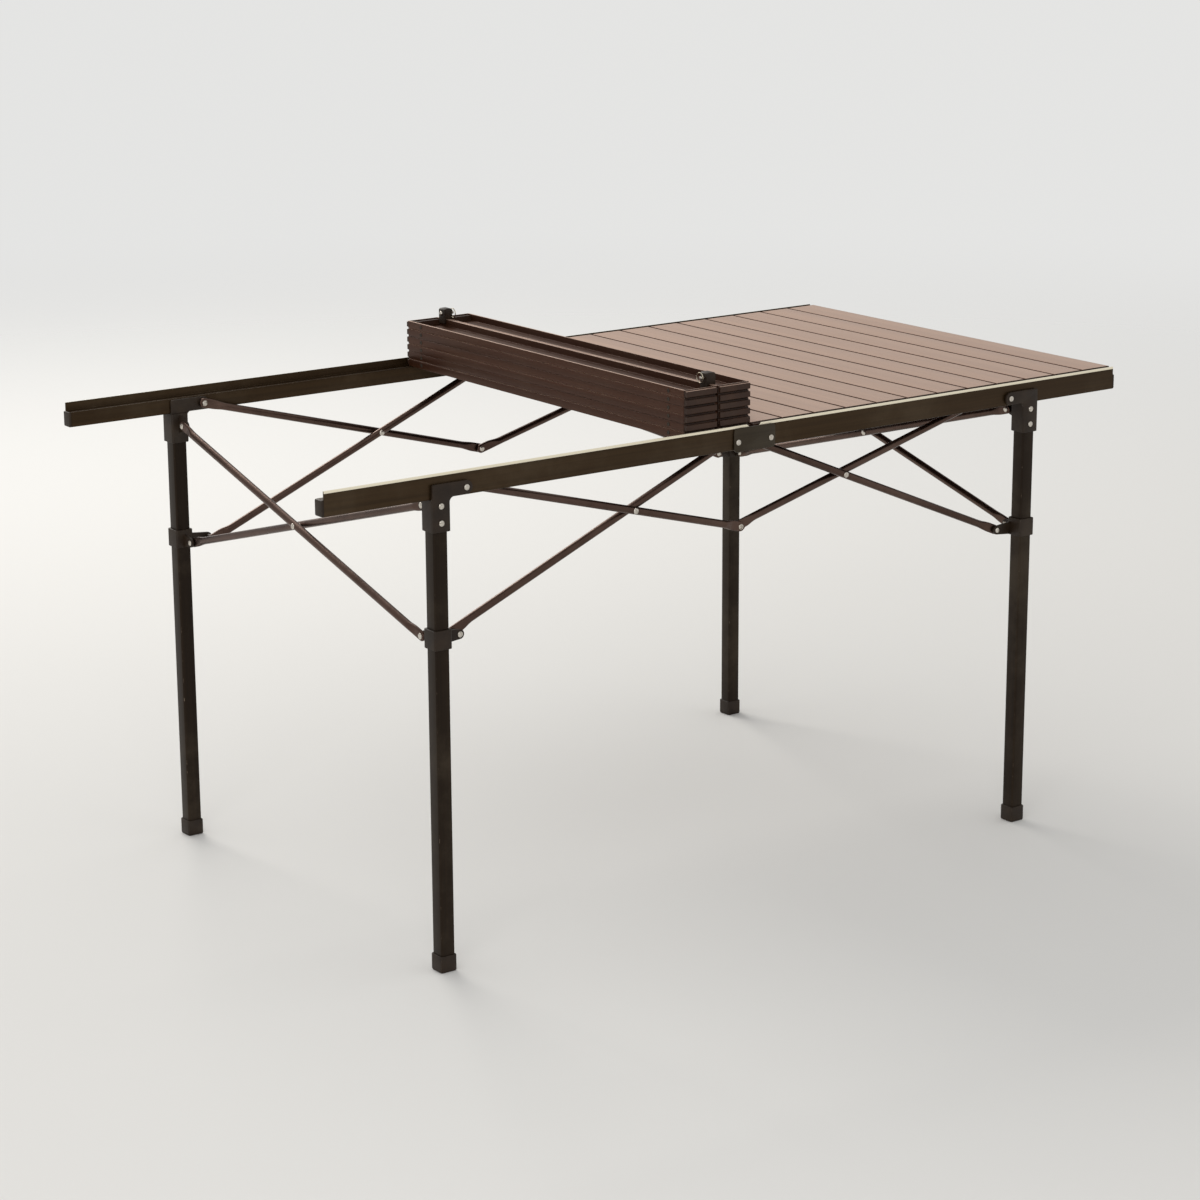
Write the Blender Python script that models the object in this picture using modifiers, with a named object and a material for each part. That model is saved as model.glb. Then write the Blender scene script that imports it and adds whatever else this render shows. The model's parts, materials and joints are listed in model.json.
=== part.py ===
"""Folding camp table with a slatted aluminium top on a folding scissor frame.

The table stands open on the floor. The right half of its top lies flat on the
side rails, and the left half is folded into a stack beside the middle.
X runs along the table, Y across it and Z up. The origin is on the floor, in
the middle of the four feet. All sizes are in metres.
"""

import math

import bmesh
import bpy
from mathutils import Matrix, Vector

# Overall size
TOP_LENGTH = 1.400
TOP_WIDTH = 0.720
TABLE_HEIGHT = 0.690

# Clearances between neighbouring pieces
SEAT_GAP = 0.0003
PIN_CLEARANCE = 0.0003
SLIDE_CLEARANCE = 0.0004

# Side rails: a box tube with a lip along its outer edge
RAIL_WIDTH = 0.018
RAIL_BOX_HEIGHT = 0.022
RAIL_WALL = 0.0015
LIP_HEIGHT = 0.012
LIP_THICKNESS = 0.002
CAP_FLANGE = 0.003
CAP_PLUG_LENGTH = 0.012
CAP_ROUNDING = 0.0025

# Hinge plate in the middle of each side
PLATE_LENGTH = 0.073
PLATE_HEIGHT = 0.034
PLATE_THICKNESS = 0.002
PLATE_CORNER = 0.006
PLATE_PIN_SPACING = 0.058
RAIL_END_CLEARANCE = 0.0006

# Legs
LEG_SIZE = 0.022
LEG_WALL = 0.0014
LEG_CORNER = 0.0028
LEG_INSET = 0.177
FOOT_HEIGHT = 0.024
FOOT_WALL = 0.0016
FOOT_SOLE = 0.003

# Leg brackets and sliding collars
SLEEVE_WALL = 0.0024
SLEEVE_LENGTH = 0.044
BRACKET_ARM_RADIUS = 0.0095
BRACKET_FILLET = 0.007
CHEEK_INSET = 0.0003
CHEEK_PROUD = 0.0002
INNER_CHEEK = 0.0025
PIVOT_OFFSET = 0.040
COLLAR_HEIGHT = 0.027
COLLAR_DROP = 0.2105
LUG_THICKNESS = 0.004
LUG_RADIUS = 0.0068
END_PIN_REACH = 0.032
END_PIN_DROP = 0.050
COLLAR_PIN_DROP = 0.227

# Scissor bars
BAR_DIAMETER = 0.011
BAR_OVERRUN = 0.0075
BAR_PLANE_GAP = 0.0008
FLAT_THICKNESS = 0.005
FLAT_WIDTH = 0.014
FLAT_REACH = 0.014
FLAT_TAPER = 0.012
LOWER_JOINT_DROP = 0.153

# Rivets
RIVET_SHANK = 0.0024
RIVET_HEAD = 0.0040
RIVET_DOME = 0.0018
RIVET_SHOULDER = 0.0043
ROUND_SINK = 0.0022

# Slatted top
SLATS_PER_HALF = 12
SLATS_PER_PANEL = 2
SLAT_GAP = 0.0040
SLAT_HEIGHT = 0.0115
SLAT_SKIN = 0.0014
SLAT_WALL = 0.0016
SLAT_END_WALL = 0.0030
SLAT_WEB_DEPTH = 0.0012
SLAT_WEB_THICKNESS = 0.0016
SLAT_SIDE_CLEARANCE = 0.0027

# Clips on the outermost pair of slats
CLIP_LENGTH = 0.016
CLIP_WIDTH = 0.015
CLIP_RISE = 0.0165
CLIP_GRIP = 0.006
CLIP_CORNER = 0.0032
CLIP_FROM_RAIL = 0.012
BOLT_RADIUS = 0.0016
BOLT_HEAD_RADIUS = 0.0034
BOLT_HEAD_LENGTH = 0.0024
BOLT_TAIL = 0.0046
RING_RADIUS = 0.0062
RING_WIRE = 0.0007

# Counts of facets
ROUND_SIDES = 12
RIVET_SIDES = 10

# Heights and depths that follow from the sizes above
RAIL_BOTTOM = TABLE_HEIGHT - LIP_HEIGHT - RAIL_BOX_HEIGHT
LEDGE_HEIGHT = RAIL_BOTTOM + RAIL_BOX_HEIGHT
PIVOT_HEIGHT = RAIL_BOTTOM + RAIL_BOX_HEIGHT / 2
HALF_LENGTH = TOP_LENGTH / 2
HALF_WIDTH = TOP_WIDTH / 2
LEG_X = HALF_LENGTH - LEG_INSET
LEG_Y = HALF_WIDTH - RAIL_WIDTH / 2
PIVOT_X = LEG_X - PIVOT_OFFSET
PLATE_PIN_X = PLATE_PIN_SPACING / 2
LEG_TOP = RAIL_BOTTOM - SEAT_GAP - SLEEVE_WALL
LEG_BOTTOM = FOOT_SOLE + SEAT_GAP
SLEEVE_HALF = LEG_SIZE / 2 + SLIDE_CLEARANCE + SLEEVE_WALL
SLEEVE_BOTTOM = RAIL_BOTTOM - SEAT_GAP - SLEEVE_LENGTH
COLLAR_TOP = TABLE_HEIGHT - COLLAR_DROP
COLLAR_PIN_HEIGHT = TABLE_HEIGHT - COLLAR_PIN_DROP
END_PIN_HEIGHT = TABLE_HEIGHT - END_PIN_DROP
END_PIN_Y = LEG_Y - END_PIN_REACH
LOWER_JOINT_HEIGHT = TABLE_HEIGHT - LOWER_JOINT_DROP
BAR_RADIUS = BAR_DIAMETER / 2

# Distances inward from the outer face of the rail to the planes of the side bars
INNER_CHEEK_FACE = RAIL_WIDTH + SEAT_GAP + INNER_CHEEK
OUTER_BAR_PLANE = INNER_CHEEK_FACE + BAR_PLANE_GAP + BAR_RADIUS
INNER_BAR_PLANE = OUTER_BAR_PLANE + BAR_DIAMETER + BAR_PLANE_GAP
OUTER_CHEEK_FACE = LEG_SIZE / 2 + SLIDE_CLEARANCE + SLEEVE_WALL - RAIL_WIDTH / 2

# Offset of each end bar from the middle plane of the legs
END_BAR_OFFSET = BAR_PLANE_GAP / 2 + BAR_RADIUS
END_FLAT_OFFSET = LUG_THICKNESS / 2 + BAR_PLANE_GAP / 2 + FLAT_THICKNESS / 2

SLAT_PITCH = HALF_LENGTH / SLATS_PER_HALF
SLAT_WIDTH = SLAT_PITCH - SLAT_GAP
SLAT_LENGTH = TOP_WIDTH - 2 * (LIP_THICKNESS + SLAT_SIDE_CLEARANCE)
PANEL_PITCH = SLAT_PITCH * SLATS_PER_PANEL
PANELS_PER_HALF = SLATS_PER_HALF // SLATS_PER_PANEL
LAYER_PITCH = SLAT_HEIGHT + SEAT_GAP
SLAT_BOTTOM = LEDGE_HEIGHT + SEAT_GAP
CLIP_Y = HALF_WIDTH - RAIL_WIDTH - CLIP_FROM_RAIL

SIDES = {"near": -1, "far": 1}
ENDS = {"left": -1, "right": 1}


def clear_scene():
    """Remove whatever the new file starts with."""
    for old in list(bpy.data.objects):
        bpy.data.objects.remove(old, do_unlink=True)


def new_collection(name):
    """A collection linked to the scene."""
    group = bpy.data.collections.new(name)
    bpy.context.scene.collection.children.link(group)
    return group


def paint(name, colour, roughness, metallic):
    """A plain Principled material."""
    made = bpy.data.materials.new(name)
    made.use_nodes = True
    shader = made.node_tree.nodes["Principled BSDF"]
    shader.inputs["Base Color"].default_value = (*colour, 1.0)
    shader.inputs["Roughness"].default_value = roughness
    shader.inputs["Metallic"].default_value = metallic
    return made


def add_object(name, data):
    """Wrap mesh or curve data in an object of the table."""
    made = bpy.data.objects.new(name, data)
    TABLE.objects.link(made)
    return made


def settled(source, name):
    """Turn an object with its modifiers into plain mesh, in world coordinates, and drop the source."""
    bpy.context.view_layer.update()
    view = bpy.context.evaluated_depsgraph_get()
    mesh = bpy.data.meshes.new_from_object(source.evaluated_get(view))
    mesh.transform(source.matrix_world)
    work = bmesh.new()
    work.from_mesh(mesh)
    bmesh.ops.remove_doubles(work, verts=work.verts, dist=0.000005)
    bmesh.ops.recalc_face_normals(work, faces=work.faces)
    work.to_mesh(mesh)
    work.free()
    bpy.data.objects.remove(source, do_unlink=True)
    return add_object(name, mesh)


def box(name, low, high, rounding=0.0, upright_only=False):
    """A box between two corners, with its edges rounded by a Bevel."""
    low = Vector(low)
    high = Vector(high)
    work = bmesh.new()
    bmesh.ops.create_cube(work, size=1.0)
    size = high - low
    bmesh.ops.scale(work, vec=size, verts=work.verts)
    bmesh.ops.translate(work, vec=(low + high) / 2, verts=work.verts)
    if rounding:
        edges = [
            edge for edge in work.edges
            if not upright_only or abs((edge.verts[0].co - edge.verts[1].co).z) > size.z / 2
        ]
        bmesh.ops.bevel(work, geom=edges, offset=rounding, segments=2, profile=0.5, affect="EDGES")
    mesh = bpy.data.meshes.new(name)
    work.to_mesh(mesh)
    work.free()
    return add_object(name, mesh)


def arc(centre, radius, start, end, steps):
    """Points along an arc, by angles in degrees, both ends included."""
    turns = [math.radians(start + (end - start) * i / steps) for i in range(steps + 1)]
    return [(centre[0] + radius * math.cos(t), centre[1] + radius * math.sin(t)) for t in turns]


def outline_solid(name, outlines, middle, thickness, across):
    """Extrude flat outlines. 'across' is the axis they are extruded along: 'x', 'y' or 'z'.

    For 'x' the outline is in (y, z), for 'y' in (x, z) and for 'z' in (x, y).
    """
    curve = bpy.data.curves.new(name, "CURVE")
    curve.dimensions = "2D"
    curve.fill_mode = "BOTH"
    curve.extrude = thickness / 2
    for points in outlines:
        spline = curve.splines.new("POLY")
        spline.points.add(len(points) - 1)
        for point, (u, v) in zip(spline.points, points):
            point.co = (u, v, 0.0, 1.0)
        spline.use_cyclic_u = True
    made = add_object(name + "_outline", curve)
    turns = {
        "x": Matrix(((0, 0, 1, 0), (1, 0, 0, 0), (0, 1, 0, 0), (0, 0, 0, 1))),
        "y": Matrix(((1, 0, 0, 0), (0, 0, -1, 0), (0, 1, 0, 0), (0, 0, 0, 1))),
        "z": Matrix.Identity(4),
    }
    shift = {"x": (middle, 0, 0), "y": (0, middle, 0), "z": (0, 0, middle)}[across]
    made.matrix_world = Matrix.Translation(shift) @ turns[across]
    return settled(made, name)


def bar_tube(name, start, end, normal, start_shift, end_shift):
    """A round tube from pin to pin whose two ends are pressed flat, as a loft of closed rings.

    'normal' is the direction of the pins. Each flat end is moved along it by its shift.
    """
    start = Vector(start)
    end = Vector(end)
    normal = Vector(normal)
    along = (end - start).normalized()
    across = normal.cross(along)
    length = (end - start).length
    flat = (FLAT_THICKNESS / 2, FLAT_WIDTH / 2)
    tip = (FLAT_THICKNESS / 2 * 0.75, FLAT_WIDTH / 2 * 0.55)
    body = (BAR_RADIUS, BAR_RADIUS)
    stations = [
        (-BAR_OVERRUN, start_shift, tip),
        (-BAR_OVERRUN * 0.62, start_shift, flat),
        (FLAT_REACH, start_shift, flat),
        (FLAT_REACH + FLAT_TAPER, 0.0, body),
        (length - FLAT_REACH - FLAT_TAPER, 0.0, body),
        (length - FLAT_REACH, end_shift, flat),
        (length + BAR_OVERRUN * 0.62, end_shift, flat),
        (length + BAR_OVERRUN, end_shift, tip),
    ]
    work = bmesh.new()
    rings = []
    for place, shift, (thick, wide) in stations:
        ring = []
        for i in range(ROUND_SIDES):
            turn = 2 * math.pi * (i + 0.5) / ROUND_SIDES
            point = start + along * place + normal * (shift + thick * math.cos(turn))
            ring.append(work.verts.new(point + across * wide * math.sin(turn)))
        rings.append(ring)
    for lower, upper in zip(rings, rings[1:]):
        for i in range(ROUND_SIDES):
            j = (i + 1) % ROUND_SIDES
            work.faces.new((lower[i], lower[j], upper[j], upper[i]))
    work.faces.new(rings[0])
    work.faces.new(rings[-1])
    bmesh.ops.recalc_face_normals(work, faces=work.faces)
    mesh = bpy.data.meshes.new(name)
    work.to_mesh(mesh)
    work.free()
    return add_object(name, mesh)


def turned(name, profile, base, direction, sides):
    """Turn a profile of (radius, height) points about an axis through 'base'.

    The profile runs from the far end of the axis down to its start.
    """
    mesh = bpy.data.meshes.new(name)
    points = [(radius, 0.0, height) for radius, height in profile]
    mesh.from_pydata(points, [(i, i + 1) for i in range(len(points) - 1)], [])
    made = add_object(name + "_profile", mesh)
    screw = made.modifiers.new("turn", "SCREW")
    screw.axis = "Z"
    screw.steps = sides
    screw.render_steps = sides
    screw.use_merge_vertices = True
    screw.merge_threshold = 0.00002
    made.matrix_world = Matrix.Translation(base) @ Vector((0, 0, 1)).rotation_difference(
        Vector(direction)
    ).to_matrix().to_4x4()
    return settled(made, name)


def boolean(target, tool, operation):
    """Apply one exact Boolean to a target, and drop the tool."""
    change = target.modifiers.new("shape", "BOOLEAN")
    change.operation = operation
    change.solver = "EXACT"
    change.object = tool
    TABLE.objects.unlink(tool)
    CUTTERS.objects.link(tool)
    tool.hide_render = True
    tool.display_type = "WIRE"
    name = target.name
    target.name = name + "_before"
    made = settled(target, name)
    bpy.data.objects.remove(tool, do_unlink=True)
    return made


def cut(target, tool):
    return boolean(target, tool, "DIFFERENCE")


def fuse(target, tool):
    return boolean(target, tool, "UNION")


def fuse_all(name, pieces):
    """Join overlapping pieces into one solid."""
    whole = pieces[0]
    for piece in pieces[1:]:
        whole = fuse(whole, piece)
    whole.name = name
    return whole


def finish(made, material, pivot=(0.0, 0.0, 0.0), smooth=True):
    """Give a piece its material, and its origin on its joint's axis."""
    made.data.materials.clear()
    made.data.materials.append(material)
    pivot = Vector(pivot)
    made.data.transform(Matrix.Translation(-pivot))
    made.location = pivot
    if smooth:
        made.data.shade_smooth()
        made.data.set_sharp_from_angle(angle=math.radians(35))
    return made


def drill(target, centre, axis, radius, length):
    """Cut a round hole along X or Y, centred on a point."""
    half = Vector(axis) * length / 2
    profile = [(0.0, length), (radius, length), (radius, 0.0), (0.0, 0.0)]
    tool = turned("drill", profile, Vector(centre) - half, axis, ROUND_SIDES)
    return cut(target, tool)


def pin(name, start, axis, spans, head_start=False, head_end=True):
    """A rivet along 'axis' from 'start'. Each span is (radius, from, to), in order along the axis."""
    points = [(0.0, 0.0)]
    if head_start:
        points = [(0.0, -RIVET_DOME), (RIVET_HEAD * 0.62, -RIVET_DOME * 0.72), (RIVET_HEAD, 0.0)]
    for radius, low, high in spans:
        points += [(radius, low), (radius, high)]
    length = spans[-1][2]
    if head_end:
        points += [(RIVET_HEAD, length), (RIVET_HEAD * 0.62, length + RIVET_DOME * 0.72)]
        points.append((0.0, length + RIVET_DOME))
    else:
        points.append((0.0, length))
    return turned(name, points[::-1], start, axis, RIVET_SIDES)


def dome(name, base, axis, sink):
    """A rivet head that stands on 'base' and is sunk into the piece below it."""
    profile = [
        (0.0, RIVET_DOME), (RIVET_HEAD * 0.62, RIVET_DOME * 0.72), (RIVET_HEAD, 0.0),
        (RIVET_HEAD, -sink), (0.0, -sink),
    ]
    return turned(name, profile, base, axis, RIVET_SIDES)


def corner_names():
    """Every corner of the frame as (name, side sign, end sign)."""
    return [
        (f"{side}_{end}", SIDES[side], ENDS[end]) for side in SIDES for end in ENDS
    ]


def depth_to_y(side, depth):
    """The Y of a plane that lies a distance inward from the rail's outer face."""
    return side * (HALF_WIDTH - depth)


def scissor_crossing():
    """Where the two side bars of one half cross: its distance from the leg pivot in X, and its height."""
    upper_slope = (PIVOT_HEIGHT - LOWER_JOINT_HEIGHT) / PIVOT_X
    lower_slope = (PIVOT_HEIGHT - COLLAR_PIN_HEIGHT) / PIVOT_X
    reach = (PIVOT_HEIGHT - COLLAR_PIN_HEIGHT) / (upper_slope + lower_slope)
    return reach, PIVOT_HEIGHT - upper_slope * reach


CROSSING_REACH, CROSSING_HEIGHT = scissor_crossing()
CROSSING_X = PIVOT_X - CROSSING_REACH


def rounded_square(half, corner, steps=2):
    """A square outline about the origin with rounded corners."""
    inner = half - corner
    points = []
    for i, (sx, sy) in enumerate(((1, 1), (-1, 1), (-1, -1), (1, -1))):
        points += arc((sx * inner, sy * inner), corner, 90 * i, 90 * i + 90, steps)
    return points


def shifted(points, dx, dy):
    return [(x + dx, y + dy) for x, y in points]


def make_leg_tube(corner, side, end):
    """A square tube with rounded corners, open at both ends."""
    x = end * LEG_X
    y = side * LEG_Y
    outer = shifted(rounded_square(LEG_SIZE / 2, LEG_CORNER), x, y)
    inner = shifted(rounded_square(LEG_SIZE / 2 - LEG_WALL, LEG_CORNER - LEG_WALL, 1), x, y)
    middle = (LEG_TOP + LEG_BOTTOM) / 2
    tube = outline_solid(f"leg_tube_{corner}", [outer, inner], middle, LEG_TOP - LEG_BOTTOM, "z")
    return finish(tube, ALUMINIUM, (x, y, PIVOT_HEIGHT))


def make_foot(corner, side, end):
    """A plastic cap over the lower end of a leg."""
    x = end * LEG_X
    y = side * LEG_Y
    half = LEG_SIZE / 2 + SEAT_GAP + FOOT_WALL
    pocket = LEG_SIZE / 2 + SEAT_GAP
    foot = box(f"leg_foot_{corner}", (x - half, y - half, 0), (x + half, y + half, FOOT_HEIGHT), 0.0018)
    hollow = box("pocket", (x - pocket, y - pocket, FOOT_SOLE), (x + pocket, y + pocket, FOOT_HEIGHT * 2))
    return finish(cut(foot, hollow), PLASTIC, (x, y, PIVOT_HEIGHT))


def cheek_outline(end):
    """The outline of a bracket cheek in (x, z): a leg-wide flank with an arm to the rail pivot."""
    near_x = LEG_X + SLEEVE_HALF - CHEEK_INSET
    inner_x = LEG_X - SLEEVE_HALF + CHEEK_INSET
    foot = SLEEVE_BOTTOM + CHEEK_INSET
    arm_top = PIVOT_HEIGHT + BRACKET_ARM_RADIUS
    arm_low = PIVOT_HEIGHT - BRACKET_ARM_RADIUS
    points = [(near_x, foot), (near_x, arm_top - 0.003), (near_x - 0.003, arm_top)]
    points += arc((PIVOT_X, PIVOT_HEIGHT), BRACKET_ARM_RADIUS, 90, 270, 6)
    points += arc((inner_x - BRACKET_FILLET, arm_low - BRACKET_FILLET), BRACKET_FILLET, 90, 0, 3)
    points += [(inner_x, foot)]
    return [(end * x, z) for x, z in points]


def make_bracket(corner, side, end):
    """The moulded bracket on a leg's top: a sleeve, two cheeks beside the rail and an end lug."""
    x = end * LEG_X
    y = side * LEG_Y
    top = RAIL_BOTTOM - SEAT_GAP
    name = f"leg_bracket_{corner}"
    bracket = box(
        name,
        (x - SLEEVE_HALF, y - SLEEVE_HALF, SLEEVE_BOTTOM),
        (x + SLEEVE_HALF, y + SLEEVE_HALF, top),
        0.0022,
        upright_only=True,
    )
    outer_low = OUTER_CHEEK_FACE + CHEEK_PROUD - SEAT_GAP
    outer = outline_solid(
        "outer_cheek",
        [cheek_outline(end)],
        depth_to_y(side, -SEAT_GAP - outer_low / 2),
        outer_low,
        "y",
    )
    bracket = fuse(bracket, outer)
    inner = outline_solid(
        "inner_cheek",
        [cheek_outline(end)],
        depth_to_y(side, RAIL_WIDTH + SEAT_GAP + INNER_CHEEK / 2),
        INNER_CHEEK,
        "y",
    )
    bracket = fuse(bracket, inner)
    bracket = fuse(bracket, end_lug(side, end, END_PIN_HEIGHT, SLEEVE_LENGTH * 0.3))
    bore = LEG_SIZE / 2 + SLIDE_CLEARANCE
    pocket = box("leg_pocket", (x - bore, y - bore, SLEEVE_BOTTOM - 0.01), (x + bore, y + bore, LEG_TOP + SEAT_GAP))
    bracket = cut(bracket, pocket)
    bracket = drill(
        bracket, (end * PIVOT_X, y, PIVOT_HEIGHT), (0, 1, 0), RIVET_SHANK + PIN_CLEARANCE, 4 * RAIL_WIDTH
    )
    face = depth_to_y(side, -OUTER_CHEEK_FACE - CHEEK_PROUD)
    for part in (0.28, 0.80):
        z = SLEEVE_BOTTOM + SLEEVE_LENGTH * part
        bracket = fuse(bracket, dome("sleeve_rivet", (x, face, z), (0, side, 0), 0.0008))
    outward = end * end_bar_side("high", side)
    start = (x, side * END_PIN_Y, END_PIN_HEIGHT)
    length = END_FLAT_OFFSET + FLAT_THICKNESS / 2 + SEAT_GAP
    bracket = fuse(bracket, pin("end_pin", start, (outward, 0, 0), [(RIVET_SHANK, 0.0, length)]))
    start = (x - outward * LUG_THICKNESS / 2, side * END_PIN_Y, END_PIN_HEIGHT)
    bracket = fuse(bracket, dome("end_pin_head", start, (-outward, 0, 0), 0.0008))
    bracket.name = name
    return finish(bracket, PLASTIC, (x, y, PIVOT_HEIGHT))


def end_lug(side, end, height, root_half):
    """A lug that reaches inward across the table, for the pin of an end bar. Its outline is in (y, z)."""
    root = LEG_Y - LEG_SIZE / 2 - SLIDE_CLEARANCE - SLEEVE_WALL / 2
    points = [(root, height - root_half)]
    points += arc((END_PIN_Y, height), LUG_RADIUS, 270, 90, 6)
    points += [(root, height + root_half)]
    return outline_solid("lug", [[(side * y, z) for y, z in points]], end * LEG_X, LUG_THICKNESS, "x")


def side_lug(side, end, height, root_half):
    """A lug that reaches along the table, for the pin of a side bar. Its outline is in (x, z)."""
    root = LEG_X - LEG_SIZE / 2 - SLIDE_CLEARANCE - SLEEVE_WALL / 2
    points = [(root, height - root_half)]
    points += arc((PIVOT_X, height), LUG_RADIUS, 270, 90, 6)
    points += [(root, height + root_half)]
    middle = depth_to_y(side, INNER_CHEEK_FACE - LUG_THICKNESS / 2)
    return outline_solid("lug", [[(end * x, z) for x, z in points]], middle, LUG_THICKNESS, "y")


def make_collar(corner, side, end):
    """The sliding collar on a leg, with a lug along each side of the table, and its two rivets."""
    x = end * LEG_X
    y = side * LEG_Y
    collar = box(
        "collar_body",
        (x - SLEEVE_HALF, y - SLEEVE_HALF, COLLAR_TOP - COLLAR_HEIGHT),
        (x + SLEEVE_HALF, y + SLEEVE_HALF, COLLAR_TOP),
        0.0022,
        upright_only=True,
    )
    root_half = COLLAR_HEIGHT * 0.36
    collar = fuse(collar, end_lug(side, end, COLLAR_PIN_HEIGHT, root_half))
    collar = fuse(collar, side_lug(side, end, COLLAR_PIN_HEIGHT, root_half))
    bore = LEG_SIZE / 2 + SLIDE_CLEARANCE
    hole = box("bore", (x - bore, y - bore, COLLAR_TOP - 0.1), (x + bore, y + bore, COLLAR_TOP + 0.1))
    collar = cut(collar, hole)
    inward = (0, -side, 0)
    face = depth_to_y(side, INNER_CHEEK_FACE - LUG_THICKNESS)
    collar = fuse(collar, dome("side_head", (end * PIVOT_X, face, COLLAR_PIN_HEIGHT), (0, side, 0), 0.0008))
    if bar_plane("low", end) == INNER_BAR_PLANE:
        start = (end * PIVOT_X, depth_to_y(side, INNER_CHEEK_FACE - LUG_THICKNESS / 2), COLLAR_PIN_HEIGHT)
        length = LUG_THICKNESS / 2 + INNER_BAR_PLANE - BAR_RADIUS - INNER_CHEEK_FACE - SEAT_GAP
        boss = pin("boss", start, inward, [(RIVET_SHOULDER, 0.0, length)], head_end=False)
        collar = fuse(collar, boss)
    outward = end * end_bar_side("low", side)
    start = (x - outward * LUG_THICKNESS / 2, side * END_PIN_Y, COLLAR_PIN_HEIGHT)
    collar = fuse(collar, dome("end_head", start, (-outward, 0, 0), 0.0008))
    collar.name = f"collar_{corner}"
    return finish(collar, PLASTIC, (x, y, COLLAR_PIN_HEIGHT))


def bar_plane(level, end):
    """The left high bar and the right low bar run in the outer plane, and the other two in the inner."""
    outer = (level == "high") == (end < 0)
    return OUTER_BAR_PLANE if outer else INNER_BAR_PLANE


def end_bar_side(level, side):
    """Which face of a lug an end bar lies on: +1 is away from the table's middle.

    The bar from the far bracket to the near collar lies outside, and the other one inside.
    """
    outside = (level == "high") == (side > 0)
    return 1 if outside else -1


def make_rail_rivet(corner, side, end):
    """The long rivet of a leg top: through the outer cheek, the rail, the inner cheek and the high bar.

    Where the bar runs in the inner plane, a shoulder on the rivet fills the outer plane.
    """
    head_depth = -OUTER_CHEEK_FACE - CHEEK_PROUD - SEAT_GAP
    seat = bar_plane("high", end) - BAR_RADIUS
    length = seat + FLAT_THICKNESS + SEAT_GAP - head_depth
    spans = [(RIVET_SHANK, 0.0, length)]
    if bar_plane("high", end) == INNER_BAR_PLANE:
        low = INNER_CHEEK_FACE + SEAT_GAP - head_depth
        high = seat - SEAT_GAP - head_depth
        spans = [(RIVET_SHANK, 0.0, low), (RIVET_SHOULDER, low, high), (RIVET_SHANK, high, length)]
    start = (end * PIVOT_X, depth_to_y(side, head_depth), PIVOT_HEIGHT)
    made = pin(f"rail_rivet_{corner}", start, (0, -side, 0), spans, head_start=True)
    return finish(made, STEEL, (end * PIVOT_X, side * LEG_Y, PIVOT_HEIGHT))


def make_side_bar(level, corner, side, end):
    """One tube of a side's scissors with its own rivets. High bars start at the leg's bracket."""
    depth = bar_plane(level, end)
    inward = Vector((0, -side, 0))
    is_outer = depth == OUTER_BAR_PLANE
    y = depth_to_y(side, depth)
    high = level == "high"
    leg_end = Vector((end * PIVOT_X, y, PIVOT_HEIGHT if high else COLLAR_PIN_HEIGHT))
    mid_end = Vector((0.0, y, LOWER_JOINT_HEIGHT if high else PIVOT_HEIGHT))
    crossing = Vector((end * CROSSING_X, y, CROSSING_HEIGHT))
    press = BAR_RADIUS - FLAT_THICKNESS / 2
    partner = inward if is_outer else -inward
    bar = bar_tube("side_bar", leg_end, mid_end, inward, -press, press if is_outer else -press)
    hole = RIVET_SHANK + PIN_CLEARANCE
    base = mid_end + partner * (press - FLAT_THICKNESS / 2)
    bar = fuse(bar, dome("mid_head", base, -partner, 0.0008))
    if high:
        bar = drill(bar, leg_end, (0, 1, 0), hole, 3 * BAR_DIAMETER)
        length = BAR_DIAMETER + BAR_PLANE_GAP + BAR_RADIUS + SEAT_GAP
        bar = fuse(bar, pin("crossing_pin", crossing, partner, [(RIVET_SHANK, 0.0, length)]))
        bar = fuse(bar, dome("crossing_head", crossing - partner * BAR_RADIUS, -partner, ROUND_SINK))
    else:
        bar = drill(bar, crossing, (0, 1, 0), hole, 3 * BAR_DIAMETER)
        base = leg_end + inward * (FLAT_THICKNESS / 2 - press)
        bar = fuse(bar, dome("collar_head", base, inward, 0.0008))
    bar.name = f"side_bar_{level}_{corner}"
    return finish(bar, ALUMINIUM, leg_end if high else crossing)


def make_end_bar(side_name, end_name):
    """One tube of an end's scissors. It hangs on the bracket of its named side and ends at the other collar."""
    side = SIDES[side_name]
    end = ENDS[end_name]
    outward = Vector((end * end_bar_side("high", side), 0, 0))
    middle = Vector((end * LEG_X, 0, 0)) + outward * END_BAR_OFFSET
    high = middle + Vector((0, side * END_PIN_Y, END_PIN_HEIGHT))
    low = middle + Vector((0, -side * END_PIN_Y, COLLAR_PIN_HEIGHT))
    crossing = (high + low) / 2
    shift = END_FLAT_OFFSET - END_BAR_OFFSET
    bar = bar_tube("end_bar", high, low, outward, shift, shift)
    hole = RIVET_SHANK + PIN_CLEARANCE
    bar = drill(bar, high, (1, 0, 0), hole, 3 * BAR_DIAMETER)
    bar = fuse(bar, dome("low_head", low + outward * (shift + FLAT_THICKNESS / 2), outward, 0.0008))
    if end_bar_side("high", side) > 0:
        length = BAR_DIAMETER + BAR_PLANE_GAP + BAR_RADIUS + SEAT_GAP
        bar = fuse(bar, pin("crossing_pin", crossing, -outward, [(RIVET_SHANK, 0.0, length)]))
        bar = fuse(bar, dome("crossing_head", crossing + outward * BAR_RADIUS, outward, ROUND_SINK))
    else:
        bar = drill(bar, crossing, (1, 0, 0), hole, 3 * BAR_DIAMETER)
    bar.name = f"end_bar_{side_name}_{end_name}"
    return finish(bar, ALUMINIUM, high)


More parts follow.
